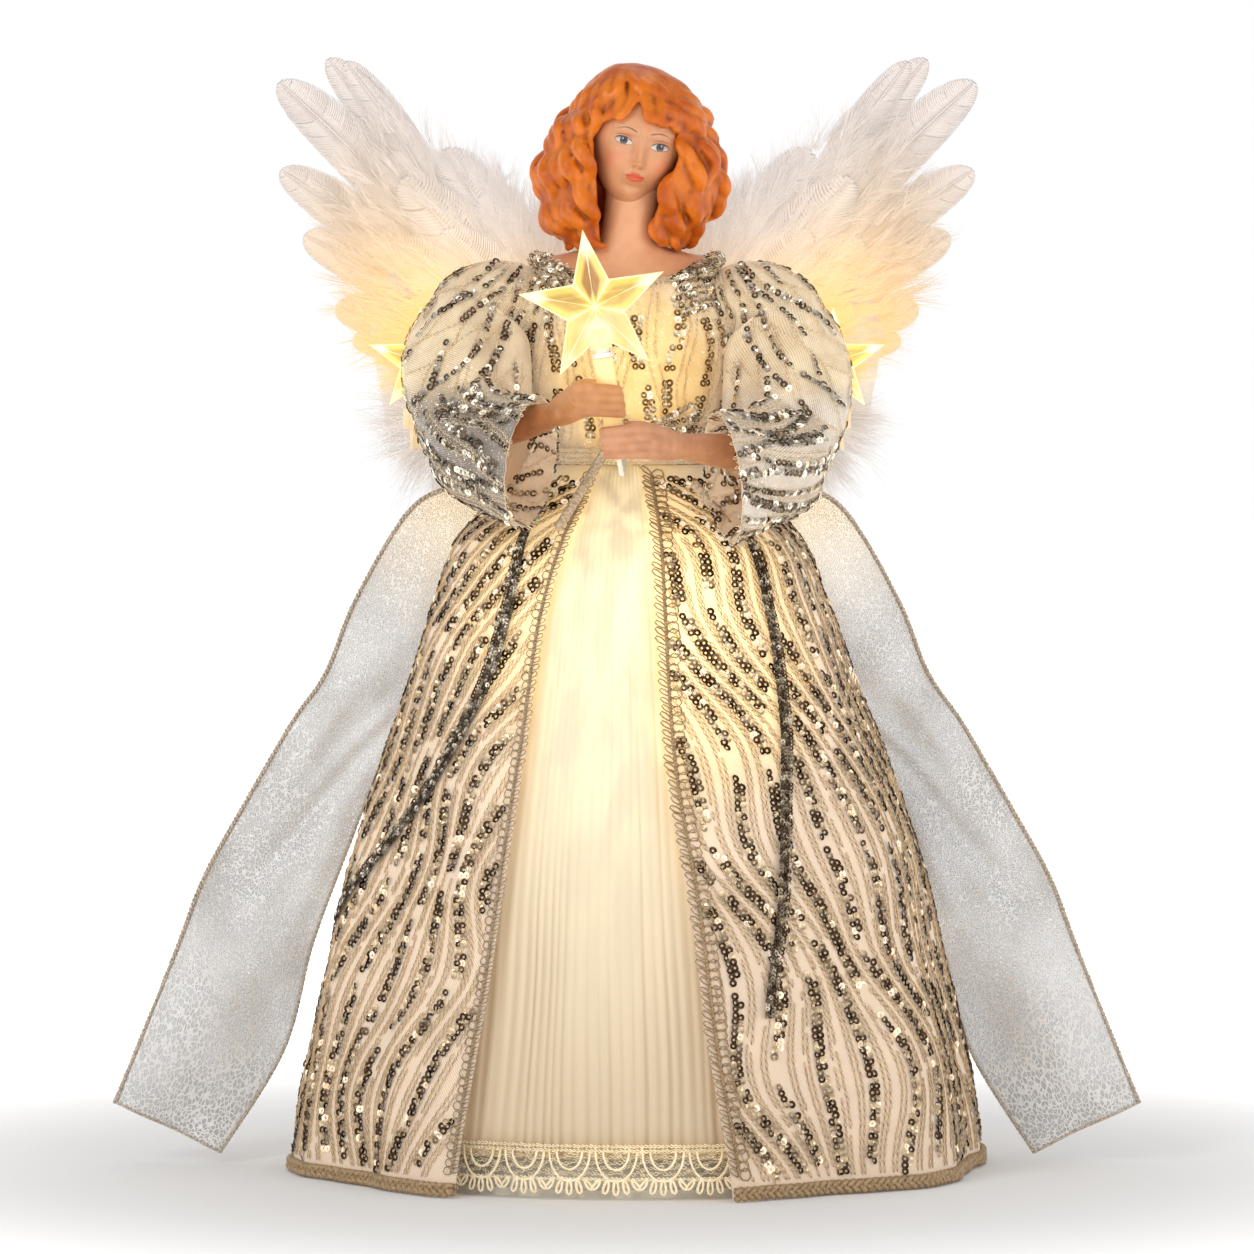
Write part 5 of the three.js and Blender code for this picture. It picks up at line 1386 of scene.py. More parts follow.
def sleeve_line(side):
    """Points along the middle of a sleeve, and its size at each."""
    line, sizes = [], []
    for out, forward, down, size in UPPER_SHARES:
        step = np.array([side * out * 19 * MM, -forward * 49 * MM, -down * ELBOW_DROP[side]])
        line.append(shoulder_point(side) + step)
        sizes.append(size)
    for way, sag, size in CUFF_SHARES:
        share = way * CUFF_SHARE[side]
        room = size * PUFF_RADIUS - (1.2 + 7.2 - 2.4 * share + 1.0) * MM
        centre = elbow_point(side) * (1 - share) + WRIST[side] * share
        line.append(centre - np.array([0, 0, sag * CUFF_SAG_SHARE[side] * room]))
        sizes.append(size)
    return np.array(line), np.array(sizes)


def sleeve_point(side):
    """The surface of a sleeve as a function of turn, 0 to 1 round it, and of the share along it."""
    line, sizes = sleeve_line(side)

    def place(turn, share):
        turn, share = np.broadcast_arrays(np.asarray(turn, float), np.asarray(share, float))
        inside = np.clip(share, 0.002, 0.998)
        centre = spline(line, share)
        ahead = unit(spline(line, inside + 0.002) - spline(line, inside - 0.002))
        across = unit(np.cross(np.broadcast_to([0, 0, 1.0], ahead.shape), ahead))
        over = np.cross(ahead, across)
        angle = 2 * np.pi * turn
        big = 0.07 * np.sin(np.pi * share) * np.sin(5 * angle)
        fold = np.abs(np.sin(6.5 * angle + 1.1 * np.sin(2 * angle) + 1.6 * share))
        gather = 1.6 * fold - 1.2 + 0.4 * np.sin(23 * angle - 4 * share)
        cuff = np.clip((share - 0.6) / 0.2, 0, 1)
        small = (0.004 + 0.02 * cuff) * gather
        dent = -0.10 * np.exp(-(((share - 0.60) / 0.035) ** 2)) * (1 + 0.3 * np.sin(7 * angle))
        flare = 0.05 * smooth((share - 0.8) / 0.2)
        size = PUFF_RADIUS * spline(sizes, share) * (1 + big + small + dent + flare)
        slant = -0.55 * smooth((share - 0.62) / 0.38) * size * np.cos(angle)
        spread = across * np.cos(angle)[..., None] + over * np.sin(angle)[..., None]
        points = centre + spread * size[..., None] + ahead * (slant * side * -1)[..., None]
        hang = smooth(share / 0.1) * smooth((0.62 - share) / 0.12) * smooth((-spread[..., 1] + 0.4) / 0.6)
        down = SHOULDER_SEAM[1] - points[..., 2]
        way = np.arctan2(np.abs(points[..., 0]) - SHOULDER_SEAM[0], np.maximum(down, 2 * MM))
        far = np.hypot(np.abs(points[..., 0]) - SHOULDER_SEAM[0], down)
        ridge = np.abs(np.sin(11 * way + 0.8 * np.sin(far / (9 * MM)) + side))
        points[..., 1] -= 3.0 * MM * hang * (ridge - 0.5) * smooth(far / (14 * MM))
        return points

    return place


def cuff_rows(rng):
    """Dark rows and stitch rows of a cuff, as (turn, share) lists."""
    dark, fine = [], []
    share = np.arange(0.60, 0.985, 0.012)
    slant = 0.16 * (share - 0.6)
    for row in range(CUFF_ROWS):
        turn = (row + 0.5) / CUFF_ROWS + 0.022 * np.sin(2 * np.pi * (share * 1.7 + row / 3.1)) + slant
        cursor = int(rng.integers(0, 5))
        while cursor < len(share) - 3:
            run = int(rng.integers(14, 34))
            for offset, trim in ((-0.006, 0), (0.006, 1)):
                part = slice(cursor + trim, cursor + run - trim)
                if len(share[part]) > 2:
                    dark.append((turn[part] + offset, share[part]))
            cursor += run + int(rng.integers(1, 6))
        for offset in (0.32, 0.5, 0.68):
            fine.append((turn + offset / CUFF_ROWS, share))
        dark.append(((row + 1.0) / CUFF_ROWS + slant + 0.012 * np.sin(9 * share + row), share))
    return dark, fine


def on_sleeve(place, side, turn, share, lift):
    """A path on a sleeve at a lift outside it, and the way outwards."""
    path, up = on_surface(place, turn, share, 0)
    facing = np.sign(np.sum((path - spline(sleeve_line(side)[0], share)) * up, -1, keepdims=True))
    return path + up * facing * lift, up * facing


def puff_rows(place, side, rng):
    """Rows that run down the puff from its seam, as paths and the ways outwards there."""
    turn, share = np.meshgrid(np.arange(300) / 300, np.linspace(0.04, 0.62, 220))
    path, up = (part.reshape(-1, 3) for part in on_sleeve(place, side, turn, share, 0))
    out = np.abs(path[:, 0]) - SHOULDER_SEAM[0]
    beside = path[:, 1] - shoulder_point(side)[1]
    down = SHOULDER_SEAM[1] - path[:, 2]
    facing = up[:, 1]
    outer = (np.abs(facing) <= 0.25) & (up[:, 0] * side > 0)
    dark, fine = [], []
    for across, held, low, high in (
        (out, facing < -0.25, -12, 94), (out, facing > 0.25, -12, 94), (beside, outer, -75, 75),
    ):
        across, drop, points, ways = across[held], down[held], path[held], up[held]
        for row, degrees in enumerate(np.arange(low, high, 2.9)):
            far = np.arange(10, 96, 0.8) * MM
            way = math.radians(degrees) + 0.06 * np.sin(far / (9 * MM) + 1.9 * row)
            gap = np.hypot(across - (far * np.sin(way))[:, None], drop - (far * np.cos(way))[:, None])
            found = gap.argmin(1)[gap.min(1) < 0.9 * MM]
            if len(found) < 8:
                continue
            line, outwards = points[found], ways[found]
            line = (line[:-4] + line[1:-3] + line[2:-2] + line[3:-1] + line[4:]) / 5
            outwards = unit(outwards[:-4] + outwards[2:-2] + outwards[4:])
            whole = np.linalg.norm(np.diff(line, axis=0), axis=1) < 4 * MM
            if row % 5 not in (1, 3):
                fine += [(line[i:j + 1], outwards[i:j + 1]) for i, j in runs_of(whole)]
                continue
            cursor = int(rng.integers(0, 8))
            while cursor < len(line) - 4:
                run = int(rng.integers(7, 20))
                if whole[cursor:cursor + run - 1].all():
                    dark.append((line[cursor:cursor + run], outwards[cursor:cursor + run]))
                cursor += run + int(rng.integers(3, 12))
    return dark, fine


class DressSleeves(bpy.types.Operator):
    """The puffed sleeves and their sequin cuffs"""

    bl_idname = "angel.dress_sleeves"
    bl_label = "Sleeves"

    def execute(self, context):
        sequin = ring_sequin(context.scene.angel_gown.sequin * 0.46)
        loop = thread_loop(2.3 * MM, 1.3 * MM, 0.18 * MM)
        bronze = sequin_finish("Sleeve sequins", tint(100, 84, 66), tint(230, 220, 202), painted_glint=0.7)
        gold = metal_thread("Sleeve stitches", tint(240, 216, 178), 0.14)
        looks = (
            ("sequins", sequin, bronze, 2.2 * MM, 0.45 * MM, 0.3),
            ("stitches", loop, gold, 2.15 * MM, 0.1 * MM, 0.1),
        )
        for side, name in SIDES:
            rng = np.random.default_rng(51 + side)
            place = sleeve_point(side)
            outer = place((np.arange(132) / 132)[None, :], np.linspace(0, 1, 84)[:, None])
            finish = glitter_tulle(f"{name.title()} sleeve tulle", side)
            lining = np.repeat([0.0, 1.0], outer[..., 0].size)
            puff = cloth(f"{name}_puff_sleeve", outer, finish, ring=True, size=(0.14, 0.10))
            puff.data.attributes.new("lining", "FLOAT", "POINT").data.foreach_set("value", lining)
            wear(turned_out(puff), "root", "bodice_tulle", f"{name}_sleeve")
            for cuff, down, look in zip(cuff_rows(rng), puff_rows(place, side, rng), looks):
                kind, shape, finish, step, lift, tilt = look
                placed = [on_sleeve(place, side, turn, share, lift) for turn, share in cuff]
                placed += [(path + up * (lift + 0.3 * MM), up) for path, up in down if len(path) > 2]
                for turn, share in cuff[::2]:
                    turn, share = turn[share > 0.72], share[share > 0.72]
                    if len(share) > 4:
                        path, up = on_sleeve(place, side, turn, share, -CLOTH - lift)
                        placed.append((path, -up))
                sewn(
                    f"{name}_sleeve_{kind}", placed, shape, finish, step, Tilt=tilt, Spread=0.1,
                    Kept_share=0.95, Seed=side + 3,
                )
        discard(sequin, loop)
        return {"FINISHED"}


def glitter_tulle(name, side=0):
    """Glittering tulle of a sleeve, whose cuff is a darker grey, painted darker still on the left as shade,
    or of the bodice where side is 0.
    """
    finish = Finish(name, Roughness=0.55, Sheen_Weight=0.3, Sheen_Roughness=0.4)
    net = finish.twill(620.0, finish.cloth_place())
    glitter = finish.noise(1600.0, 1.0)
    shade = finish.plus(finish.times(net, 0.35), finish.times(finish.noise(110.0, 3.0), 0.65))
    if side:
        # The cuff's grey, painted darker on the left as shade.
        grey = finish.fade(shade, 0.2, 0.8, *(tint(*colour) for colour in CUFF_COLOURS_LEFT_SHADED[side]))
        cream = finish.fade(shade, 0.2, 0.8, tint(204, 172, 128), tint(250, 229, 188))
        cream = finish.fade(finish.height(), 0.276, 0.292, grey, cream)
        # The sleeve's inner side is painted a warm light cream, as lamplight inside it.
        cream = finish.mix(finish.value("lining"), cream, tint(250, 222, 182))
        spots = [((side * 72 * MM, 0.01, 0.295), 0.035, 0.3), ((side * 22 * MM, -0.05, 0.29), 0.034, 0.35)]
    else:
        cream = finish.fade(shade, 0.2, 0.8, tint(192, 158, 110), tint(244, 218, 170))
        spots = [((0.002, -0.035, 0.292), 0.052, 0.6)]
    spark = finish.range(glitter, 0.64, 0.7)
    finish.set("Base Color", finish.mix(spark, cream, tint(250, 246, 236)))
    finish.set("Metallic", finish.times(spark, 0.8))
    finish.bump(finish.plus(net, glitter), 0.00015, 0.7)
    finish.lit(tint(255, 214, 130) if side else tint(255, 202, 100), spots, base=0.07)
    return finish.material


# Bodice

def bodice_half(share, waist, chest, neck):
    low = waist + (chest - waist) * np.sin(np.pi / 2 * np.clip(share / 0.65, 0, 1))
    high = chest + (neck - chest) * (1 - np.cos(np.pi / 2 * np.clip((share - 0.65) / 0.35, 0, 1)))
    return np.where(share < 0.65, low, high)


def bodice_point(turn, share, out=0.0):
    turn, share = np.broadcast_arrays(np.asarray(turn, float), np.asarray(share, float))
    angle = 2 * np.pi * turn
    wide = bodice_half(share, 36 * MM, 43 * MM, 31 * MM) + out
    deep = bodice_half(share, 27 * MM, 28.5 * MM, 23 * MM) + out
    rise = (66 + 9 * np.sin(angle) ** 2 + 5 * np.maximum(0, -np.cos(angle)) ** 2) * MM
    foot = SKIRT_HEIGHT + 0.3 * MM
    return np.stack([wide * np.sin(angle), -deep * np.cos(angle), foot + share * rise], -1)


def bodice_cloth(turn, share):
    pleat = np.sin(2 * np.pi * 26 * turn + 3 * np.sin(7 * turn))
    pleat = pleat + 0.5 * np.sin(2 * np.pi * 41 * turn + 4 * share)
    soft = (0.5 + 0.5 * np.cos(np.pi * np.clip(share, 0, 1))) * 0.5 + 0.35
    return bodice_point(turn, share, 0.55 * MM * (pleat - 1.5) * soft)


KNOT_PLACE = (0.03, 0.20)  # turn and share on the bodice
# Paths of the two organza strips that leave the waist, in millimetres
WAIST_STRIPS = [
    [(-5, -33, 266), (-10, -35, 260), (-16, -41, 250), (-25, -52, 236)],
    [(24, -38, 252), (29, -42, 246), (35, -47, 239), (42, -52, 230)],
]


def waist_knot(sequin, silver, loop, gold):
    """The gathered knot at the waist: folds of sequins and stitches that fan out, and two organza strips."""
    folds = []
    share = np.linspace(0, 1, 40)
    for degrees in (*np.linspace(-42, 42, 8), *np.linspace(146, 214, 6)):
        way = math.radians(degrees)
        length = 0.085 if abs(degrees) < 90 else 0.06
        turns = KNOT_PLACE[0] + length * share * math.cos(way)
        heights = KNOT_PLACE[1] + 0.17 * share**0.8 * math.sin(way)
        path, up = on_surface(bodice_point, turns, np.clip(heights, 0.02, 1), 0)
        folds.append((path + up * (1.2 * MM + 2.6 * MM * (1 - smooth(share)))[:, None], up))
    pieces = [
        set_along("waist_knot_sequins", folds[1::2], sequin, silver, 2.2 * MM, Tilt=0.4, Spread=0.2, Seed=12),
        set_along("waist_knot_stitches", folds[::2], loop, gold, 1.2 * MM, Tilt=0.4, Spread=0.2, Seed=12),
    ]
    organza = mottled("Organza strip", tint(176, 150, 120), tint(232, 212, 182), 900.0, 0.0001, Roughness=0.5)
    for keys in WAIST_STRIPS:
        line = spline(np.array(keys), np.linspace(0, 1, 24)) * MM
        across = unit(np.cross(np.gradient(line, axis=0), [0, 1, 0]))
        rows = [
            line + across * (3.2 * MM * s) + [0, -0.5 * MM * math.cos(np.pi * s), 0]
            for s in np.linspace(-0.5, 0.5, 5)
        ]
        pieces.append(turned_out(cloth("organza", np.stack(rows, 1), organza.material, wall=0.3 * MM)))
    return joined("waist_knot", pieces)


def bodice_rows(rng):
    """Dark rows and stitch rows of the bodice, as (turn, share) lists."""
    dark, fine = [], []
    count = 22
    for row in range(count):
        height = np.arange(0.10, 0.93, 0.02)
        path = (row + 0.5) / count + 0.012 * np.sin(7 * height + row * 1.9)
        cursor = int(rng.integers(0, 4))
        while cursor < len(height) - 3:
            part = slice(cursor, cursor + int(rng.integers(8, 20)))
            if len(height[part]) > 2:
                dark += [(path[part] + offset, height[part]) for offset in (-0.0045, 0.0045)]
            cursor = part.stop + int(rng.integers(2, 7))
        fine += [(path + offset / count, height) for offset in (0.35, 0.62)]
    return dark, fine


def neckline_rows():
    """Rows of sequins over the neckline's roll and the cloth beside it, and rows of its cord."""
    around = np.linspace(0, 1, 500)
    beside = np.abs(np.sin(2 * np.pi * around))
    centre = bodice_point(around, np.ones_like(around), 2.0 * MM)
    out = np.stack([np.sin(2 * np.pi * around), -np.cos(2 * np.pi * around), 0 * around], -1)
    radius = 2.2 * MM * (0.3 + 0.9 * smooth((beside - 0.45) / 0.35))
    crust, cords = [], []
    for ring in range(9):
        swing = 2 * np.pi * ring / 9
        up = out * math.cos(swing) + np.array([0, 0, 1]) * math.sin(swing)
        path = centre + up * radius[:, None] + np.array([0, 0, -1.0 * MM])
        crust += [(path[begin:stop], up[begin:stop]) for begin, stop in runs_of(beside > 0.5)]
        if ring % 2 == 0:
            cords.append((path, up))
    for height in np.arange(0.80, 1.0, 0.032):
        for begin, stop in ((0.085, 0.24), (0.76, 0.915)):
            turns = np.arange(begin + 0.02 * (1 - height), stop, 0.004)
            crust.append(on_surface(bodice_cloth, turns, height + 0.01 * np.sin(60 * turns), 0.5 * MM))
    return crust, cords


class DressBodice(bpy.types.Operator):
    """The bodice, its waistband and the sequins along its neckline"""

    bl_idname = "angel.dress_bodice"
    bl_label = "Bodice"

    def execute(self, context):
        turn = (np.arange(220) / 220)[None, :]
        outer = bodice_cloth(turn, np.linspace(0, 1, 46)[:, None])
        tulle = glitter_tulle("Bodice tulle")
        body = cloth("bodice_cloth", outer, tulle, ring=True, wall=0.6 * MM, size=(0.26, 0.07))
        wear(turned_out(body), "root", "bodice_tulle", "bodice")
        sequin = ring_sequin(context.scene.angel_gown.sequin * 0.46)
        loop = thread_loop(2.3 * MM, 1.3 * MM, 0.18 * MM)
        bronze = sequin_finish("Bodice sequins", tint(124, 98, 64), tint(250, 236, 206), painted_glint=0.6)
        gold = metal_thread("Bodice stitches", tint(236, 212, 172), 0.12)
        looks = (
            ("sequins", sequin, bronze, 2.4 * MM, 0.4 * MM), ("stitches", loop, gold, 1.8 * MM, 0.1 * MM),
        )
        for rows, (kind, shape, finish, step, lift) in zip(bodice_rows(np.random.default_rng(77)), looks):
            placed = [on_surface(bodice_cloth, t, s, lift) for t, s in rows]
            sewn(f"bodice_{kind}", placed, shape, finish, step, Tilt=0.3, Spread=0.1, Kept_share=0.95, Seed=5)
        silver = sequin_finish("Neckline sequins", tint(150, 130, 106), tint(246, 238, 222), painted_glint=0.8)
        small = ring_sequin(0.95 * MM)
        crust, cords = neckline_rows()
        crust = set_along("neckline_sequins", crust, small, silver, 1.55 * MM, Tilt=0.6, Spread=0.15, Seed=9)
        cord = set_along("neckline_cord", cords, loop, gold, 1.5 * MM, Tilt=0.5, Spread=0.2, Seed=8)
        wear(joined("neckline_sequins", [crust, cord]), "root", "sequin_trim", "neckline_trim")
        wear(waist_knot(sequin, silver, loop, gold), "root", "sequin_trim")
        around = np.linspace(0, 1, 500)
        rows = [
            on_surface(bodice_point, around, np.full_like(around, height), 1.1 * MM)
            for height in np.linspace(0.012, 0.088, 4)
        ]
        band = set_along("waist_stitches", rows, loop, gold, 1.5 * MM, Tilt=0.4, Spread=0.2, Seed=4)
        core = bodice_point(turn, np.linspace(0.006, 0.09, 6)[:, None], 1.0 * MM)
        tulle = glitter_tulle("Waist tulle")
        core = cloth("waist_ribbon", core, tulle, ring=True, wall=0.7 * MM, size=(0.2, 0.01))
        wear(joined("waist_trim", [turned_out(core), band]), "root", "metal_braid", "waistband")
        discard(sequin, small, loop)
        return {"FINISHED"}


def sash_point(angle, share):
    return skirt_point(angle, share, -1.3 * MM)


class LaySashTails(bpy.types.Operator):
    """The two sequin sash tails that lie on the robe"""

    bl_idname = "angel.lay_sash_tails"
    bl_label = "Sash tails"

    def execute(self, context):
        sequin = ring_sequin(1.0 * MM)
        for name, degrees, end, wide, dark, light in (
            ("left", [-78, -62, -48, -40, -37, -38], 0.36, 4.6, tint(72, 56, 40), tint(188, 174, 152)),
            ("right", [24, 29, 34, 40, 43, 43], 0.25, 3.4, tint(66, 50, 36), tint(176, 158, 132)),
        ):
            share = np.linspace(end, 0.95, 160)
            angle = np.radians(spline(degrees, (share - end) / (0.95 - end)))
            width = wide * MM * (1 - 0.5 * smooth((share - 0.72) / 0.23)) / skirt_width(share)
            rows = [
                on_surface(sash_point, angle + column * width, share, 0.4 * MM)
                for column in (-0.5, -0.17, 0.17, 0.5)
            ]
            finish = sequin_finish(f"{name.title()} sash sequins", dark, light, 0.3)
            label = f"{name}_sash_sequins"
            piece = set_along(label, rows, sequin, finish, 1.35 * MM, Tilt=0.25, Spread=0.1, Seed=2)
            base = sash_point(angle[:, None] + np.linspace(-0.55, 0.55, 5) * width[:, None], share[:, None])
            thread = metal_thread(f"{name.title()} sash tape", tint(130, 120, 108))
            tape = cloth(f"{name}_sash_tape", base, thread, wall=0.4 * MM)
            wear(joined(f"{name}_sash", [tape, piece]), "root", "sequin_trim", f"{name}_sash_tail")
        discard(sequin)
        return {"FINISHED"}


# Head. Places on it are measured from its middle, to the viewer's right, back and up, before it tilts

HEAD_CENTRE, HEAD_HALF = mm(3.5, -9, 375.0), mm(17.5, 19, 23.5)
SKIN = np.array(tint(214, 151, 106))
HEAD_TILT = math.radians(12)


def tilt_head(points):
    return rotated(points, -HEAD_TILT) + HEAD_CENTRE


def dome(x, z, cx, cz, wide, tall):
    return np.exp(-(((x - cx) / wide) ** 2) - (((z - cz) / tall) ** 2))


FACE_TURN = 2.0  # millimetres that the features sit to the viewer's right
NECK_FOOT, NECK_TOP = (0.4 * MM, -5 * MM, 340 * MM), (2.6 * MM, -7 * MM, 361 * MM)
NECK_RADIUS = 10.3 * MM


# What stands out of the face, or sinks into it, in millimetres: height, middle across and up, and half width
# and half height. The first list is for both sides of the face
SIDE_RELIEF = [
    (-2.0, 6.4, -0.4, 4.6, 3.1), (1.5, 6.5, -0.4, 2.9, 1.9), (0.6, 6.5, 1.5, 3.9, 0.6),
    (1.0, 9.5, -8.5, 4.8, 4.5), (1.0, 1.7, -8.0, 1.05, 1.0), (-0.6, 1.2, -9.2, 0.55, 0.45),
    (-0.9, 5.2, -14.0, 2.6, 3.4),
]
MIDDLE_RELIEF = [
    (0.7, 0.4, -7.7, 1.3, 1.2), (1.6, 0, -12.6, 4.6, 3.0), (0.8, 0, -11.7, 2.7, 0.75),
    (1.0, 0, -13.9, 2.2, 0.95), (-0.8, 0, -12.65, 3.3, 0.28), (-0.8, 0, -16.0, 2.5, 0.9),
    (2.0, 0, -19.4, 4.2, 2.6),
]


def face_relief(x, z):
    """How far the face stands out, in millimetres, at places across and up it in millimetres."""
    x = x - FACE_TURN
    slope = np.clip((1.0 - z) / 8.5, 0, 1)
    bridge = (0.8 + 2.9 * slope**1.3) * np.clip((z + 9.6) / 1.6, 0, 1) * smooth((4.0 - z) / 4.0)
    relief = bridge * np.exp(-((x - 0.5 * slope) / (1.2 + 0.5 * slope)) ** 2)
    sides = [(height, side * cx, *rest) for side in (-1, 1) for height, cx, *rest in SIDE_RELIEF]
    for height, *place in (*sides, *MIDDLE_RELIEF):
        relief = relief + height * dome(x, z, *place)
    return relief


def head_point(across, up, lift=0.0):
    """A point of the head from its angle round, in radians from the face's middle, and its angle up."""
    z = np.sin(up)
    low = np.maximum(0, -z)
    x = HEAD_HALF[0] * np.cos(up) * np.sin(across) * (1 - 0.3 * low)
    y = -HEAD_HALF[1] * np.cos(up) * np.cos(across) * (1 - 0.12 * low)
    z = HEAD_HALF[2] * z
    front = smooth((np.cos(across) - 0.05) / 0.4) * smooth((np.cos(up)) / 0.25)
    y = y - (face_relief(x / MM, z / MM) * MM + lift) * front
    return np.stack(np.broadcast_arrays(x, y, z), -1)


def face_patch_point(x, z, lift):
    """A point of the face at a place across and up it, in metres."""
    up = np.arcsin(np.clip(z / HEAD_HALF[2], -1, 1))
    low = np.maximum(0, -np.sin(up))
    across = np.arcsin(np.clip(x / (HEAD_HALF[0] * np.cos(up) * (1 - 0.3 * low)), -1, 1))
    return head_point(across, up, lift)


def step_mask(value, soft):
    """1 where a value is below zero, 0 above it, over a soft edge."""
    return smooth(0.5 - value / soft)


def face_paint(x, z):
    """The doll's painted colours at places in millimetres, with painted shade about the eyes, nose and lower
    lip, and a painted highlight in each eye.
    """
    x = x - FACE_TURN
    layers = []
    for side in (-1, 1):
        ex, ez = (x - side * 6.6) * side, z + 0.5
        oval = np.sqrt(np.clip(1 - ((ex - 0.1) / 3.2) ** 2, 0, 1))
        lid, low = 1.5 * oval + 0.1 * ex, -1.05 * oval + 0.1 * ex
        opening = np.maximum(np.maximum(ez - lid, low - ez), np.abs(ex - 0.1) - 3.15)
        seen = step_mask(opening, 0.2)
        iris = np.hypot(ex - 0.1, ez - 0.2)
        wide = step_mask(np.abs(ex - 0.25) - 3.2, 0.3)
        crease = 0.75 * step_mask(np.abs(ez - 0.86 * lid - 1.15) - 0.09, 0.25)
        brow = 3.6 + 1.0 * np.sin(np.clip((ex + 3.9) / 8.0, 0, 1) * np.pi) - 0.1 * np.maximum(ex, 0)
        thick = 0.30 * np.clip((4.6 - ex) / 5, 0.2, 1)
        ends = step_mask(np.abs(ex) - 4.0, 0.8)
        layers += [
            (tint(216, 124, 92), 0.5 * dome(x, z, side * 9.5, -7.5, 4.5, 3.6)),
            # Painted shade in the eye sockets and beside the nose.
            (tint(176, 104, 70), 0.5 * dome(x, z, side * 6.0, 1.9, 3.8, 1.3)),
            (tint(178, 108, 74), 0.45 * dome(x, z, side * 2.6, -3.6, 1.0, 4.2)),
            # Painted shade round the eye opening, and on the whites, darkening towards the upper lid.
            (tint(158, 94, 62), 0.5 * step_mask(opening - 0.35, 0.5)),
            (blend(np.array(tint(206, 196, 188)), tint(140, 122, 112), smooth((ez - 0.1) / 1.3)), seen),
            (tint(40, 44, 54), seen * step_mask(iris - 1.42, 0.25)),
            (tint(84, 96, 108), seen * step_mask(np.hypot(ex - 0.1, ez + 0.35) - 0.8, 0.7)),
            (tint(12, 12, 14), seen * step_mask(iris - 0.66, 0.25)),
            # A painted highlight in each eye, as a reflected light.
            (tint(235, 235, 235), 0.85 * seen * step_mask(np.hypot(ex - 0.55, ez - 0.75) - 0.2, 0.2)),
            (tint(40, 22, 16), wide * step_mask(np.abs(ez - lid - 0.05) - 0.2, 0.25)),
            (tint(110, 62, 42), 0.7 * wide * step_mask(np.abs(ez - low) - 0.07, 0.2)),
            # Painted shade along the lid crease.
            (tint(140, 72, 44), crease * step_mask(np.abs(ex - 0.2) - 2.9, 0.8)),
            (tint(122, 60, 32), 0.85 * ends * step_mask(np.abs(z - brow) - thick, 0.35)),
            (tint(120, 58, 38), 0.7 * dome(x, z, side * 1.25, -9.2, 0.6, 0.35)),
        ]
    top = -11.5 + 0.45 * np.exp(-((np.abs(x) - 1.1) / 0.9) ** 2) - 0.11 * np.abs(x) ** 1.3
    mouth = np.maximum(z - top, -14.35 + 0.10 * x**2 - z)
    line = np.abs(z + 12.65 + 0.25 * np.exp(-((x / 1.2) ** 2))) - 0.1
    layers += [
        (tint(216, 82, 52), 0.95 * step_mask(mouth, 0.3) * step_mask(np.abs(x) - 3.3, 0.5)),
        (tint(140, 36, 26), 0.85 * step_mask(line, 0.22) * step_mask(np.abs(x) - 3.3, 0.6)),
        # Painted shade under the lower lip.
        (tint(184, 116, 80), 0.4 * dome(x, z, 0, -16.2, 2.4, 0.8)),
    ]
    paint = SKIN
    for colour, mask in layers:
        paint = blend(paint, colour, mask)
    return paint


def skin_finish(name, paint=True, tones=((224, 160, 116), (229, 168, 124)), glow=1.0):
    finish = Finish(name, Roughness=0.42, Subsurface_Weight=0.08, Coat_Weight=0.12, Coat_Roughness=0.3)
    finish.set("Subsurface Radius", (0.004, 0.0015, 0.0008))
    finish.set("Subsurface Scale", 0.5)
    grain = finish.noise(240.0, 3.0)
    if paint:
        share = finish.range(grain, 0.4, 0.7, 0.0, 0.08)
        finish.set("Base Color", finish.mix(share, finish.value("paint", "Color"), tint(236, 184, 146)))
    else:
        finish.set("Base Color", finish.fade(grain, 0.3, 0.7, tint(*tones[0]), tint(*tones[1])))
    finish.bump(grain, 0.00008, 0.3)
    spots = [((-0.008, -0.09, 0.30), 0.045, 0.28 * glow), ((0.0, -0.05, 0.335), 0.03, 0.12 * glow)]
    finish.lit(tint(255, 190, 110), spots)
    return finish.material


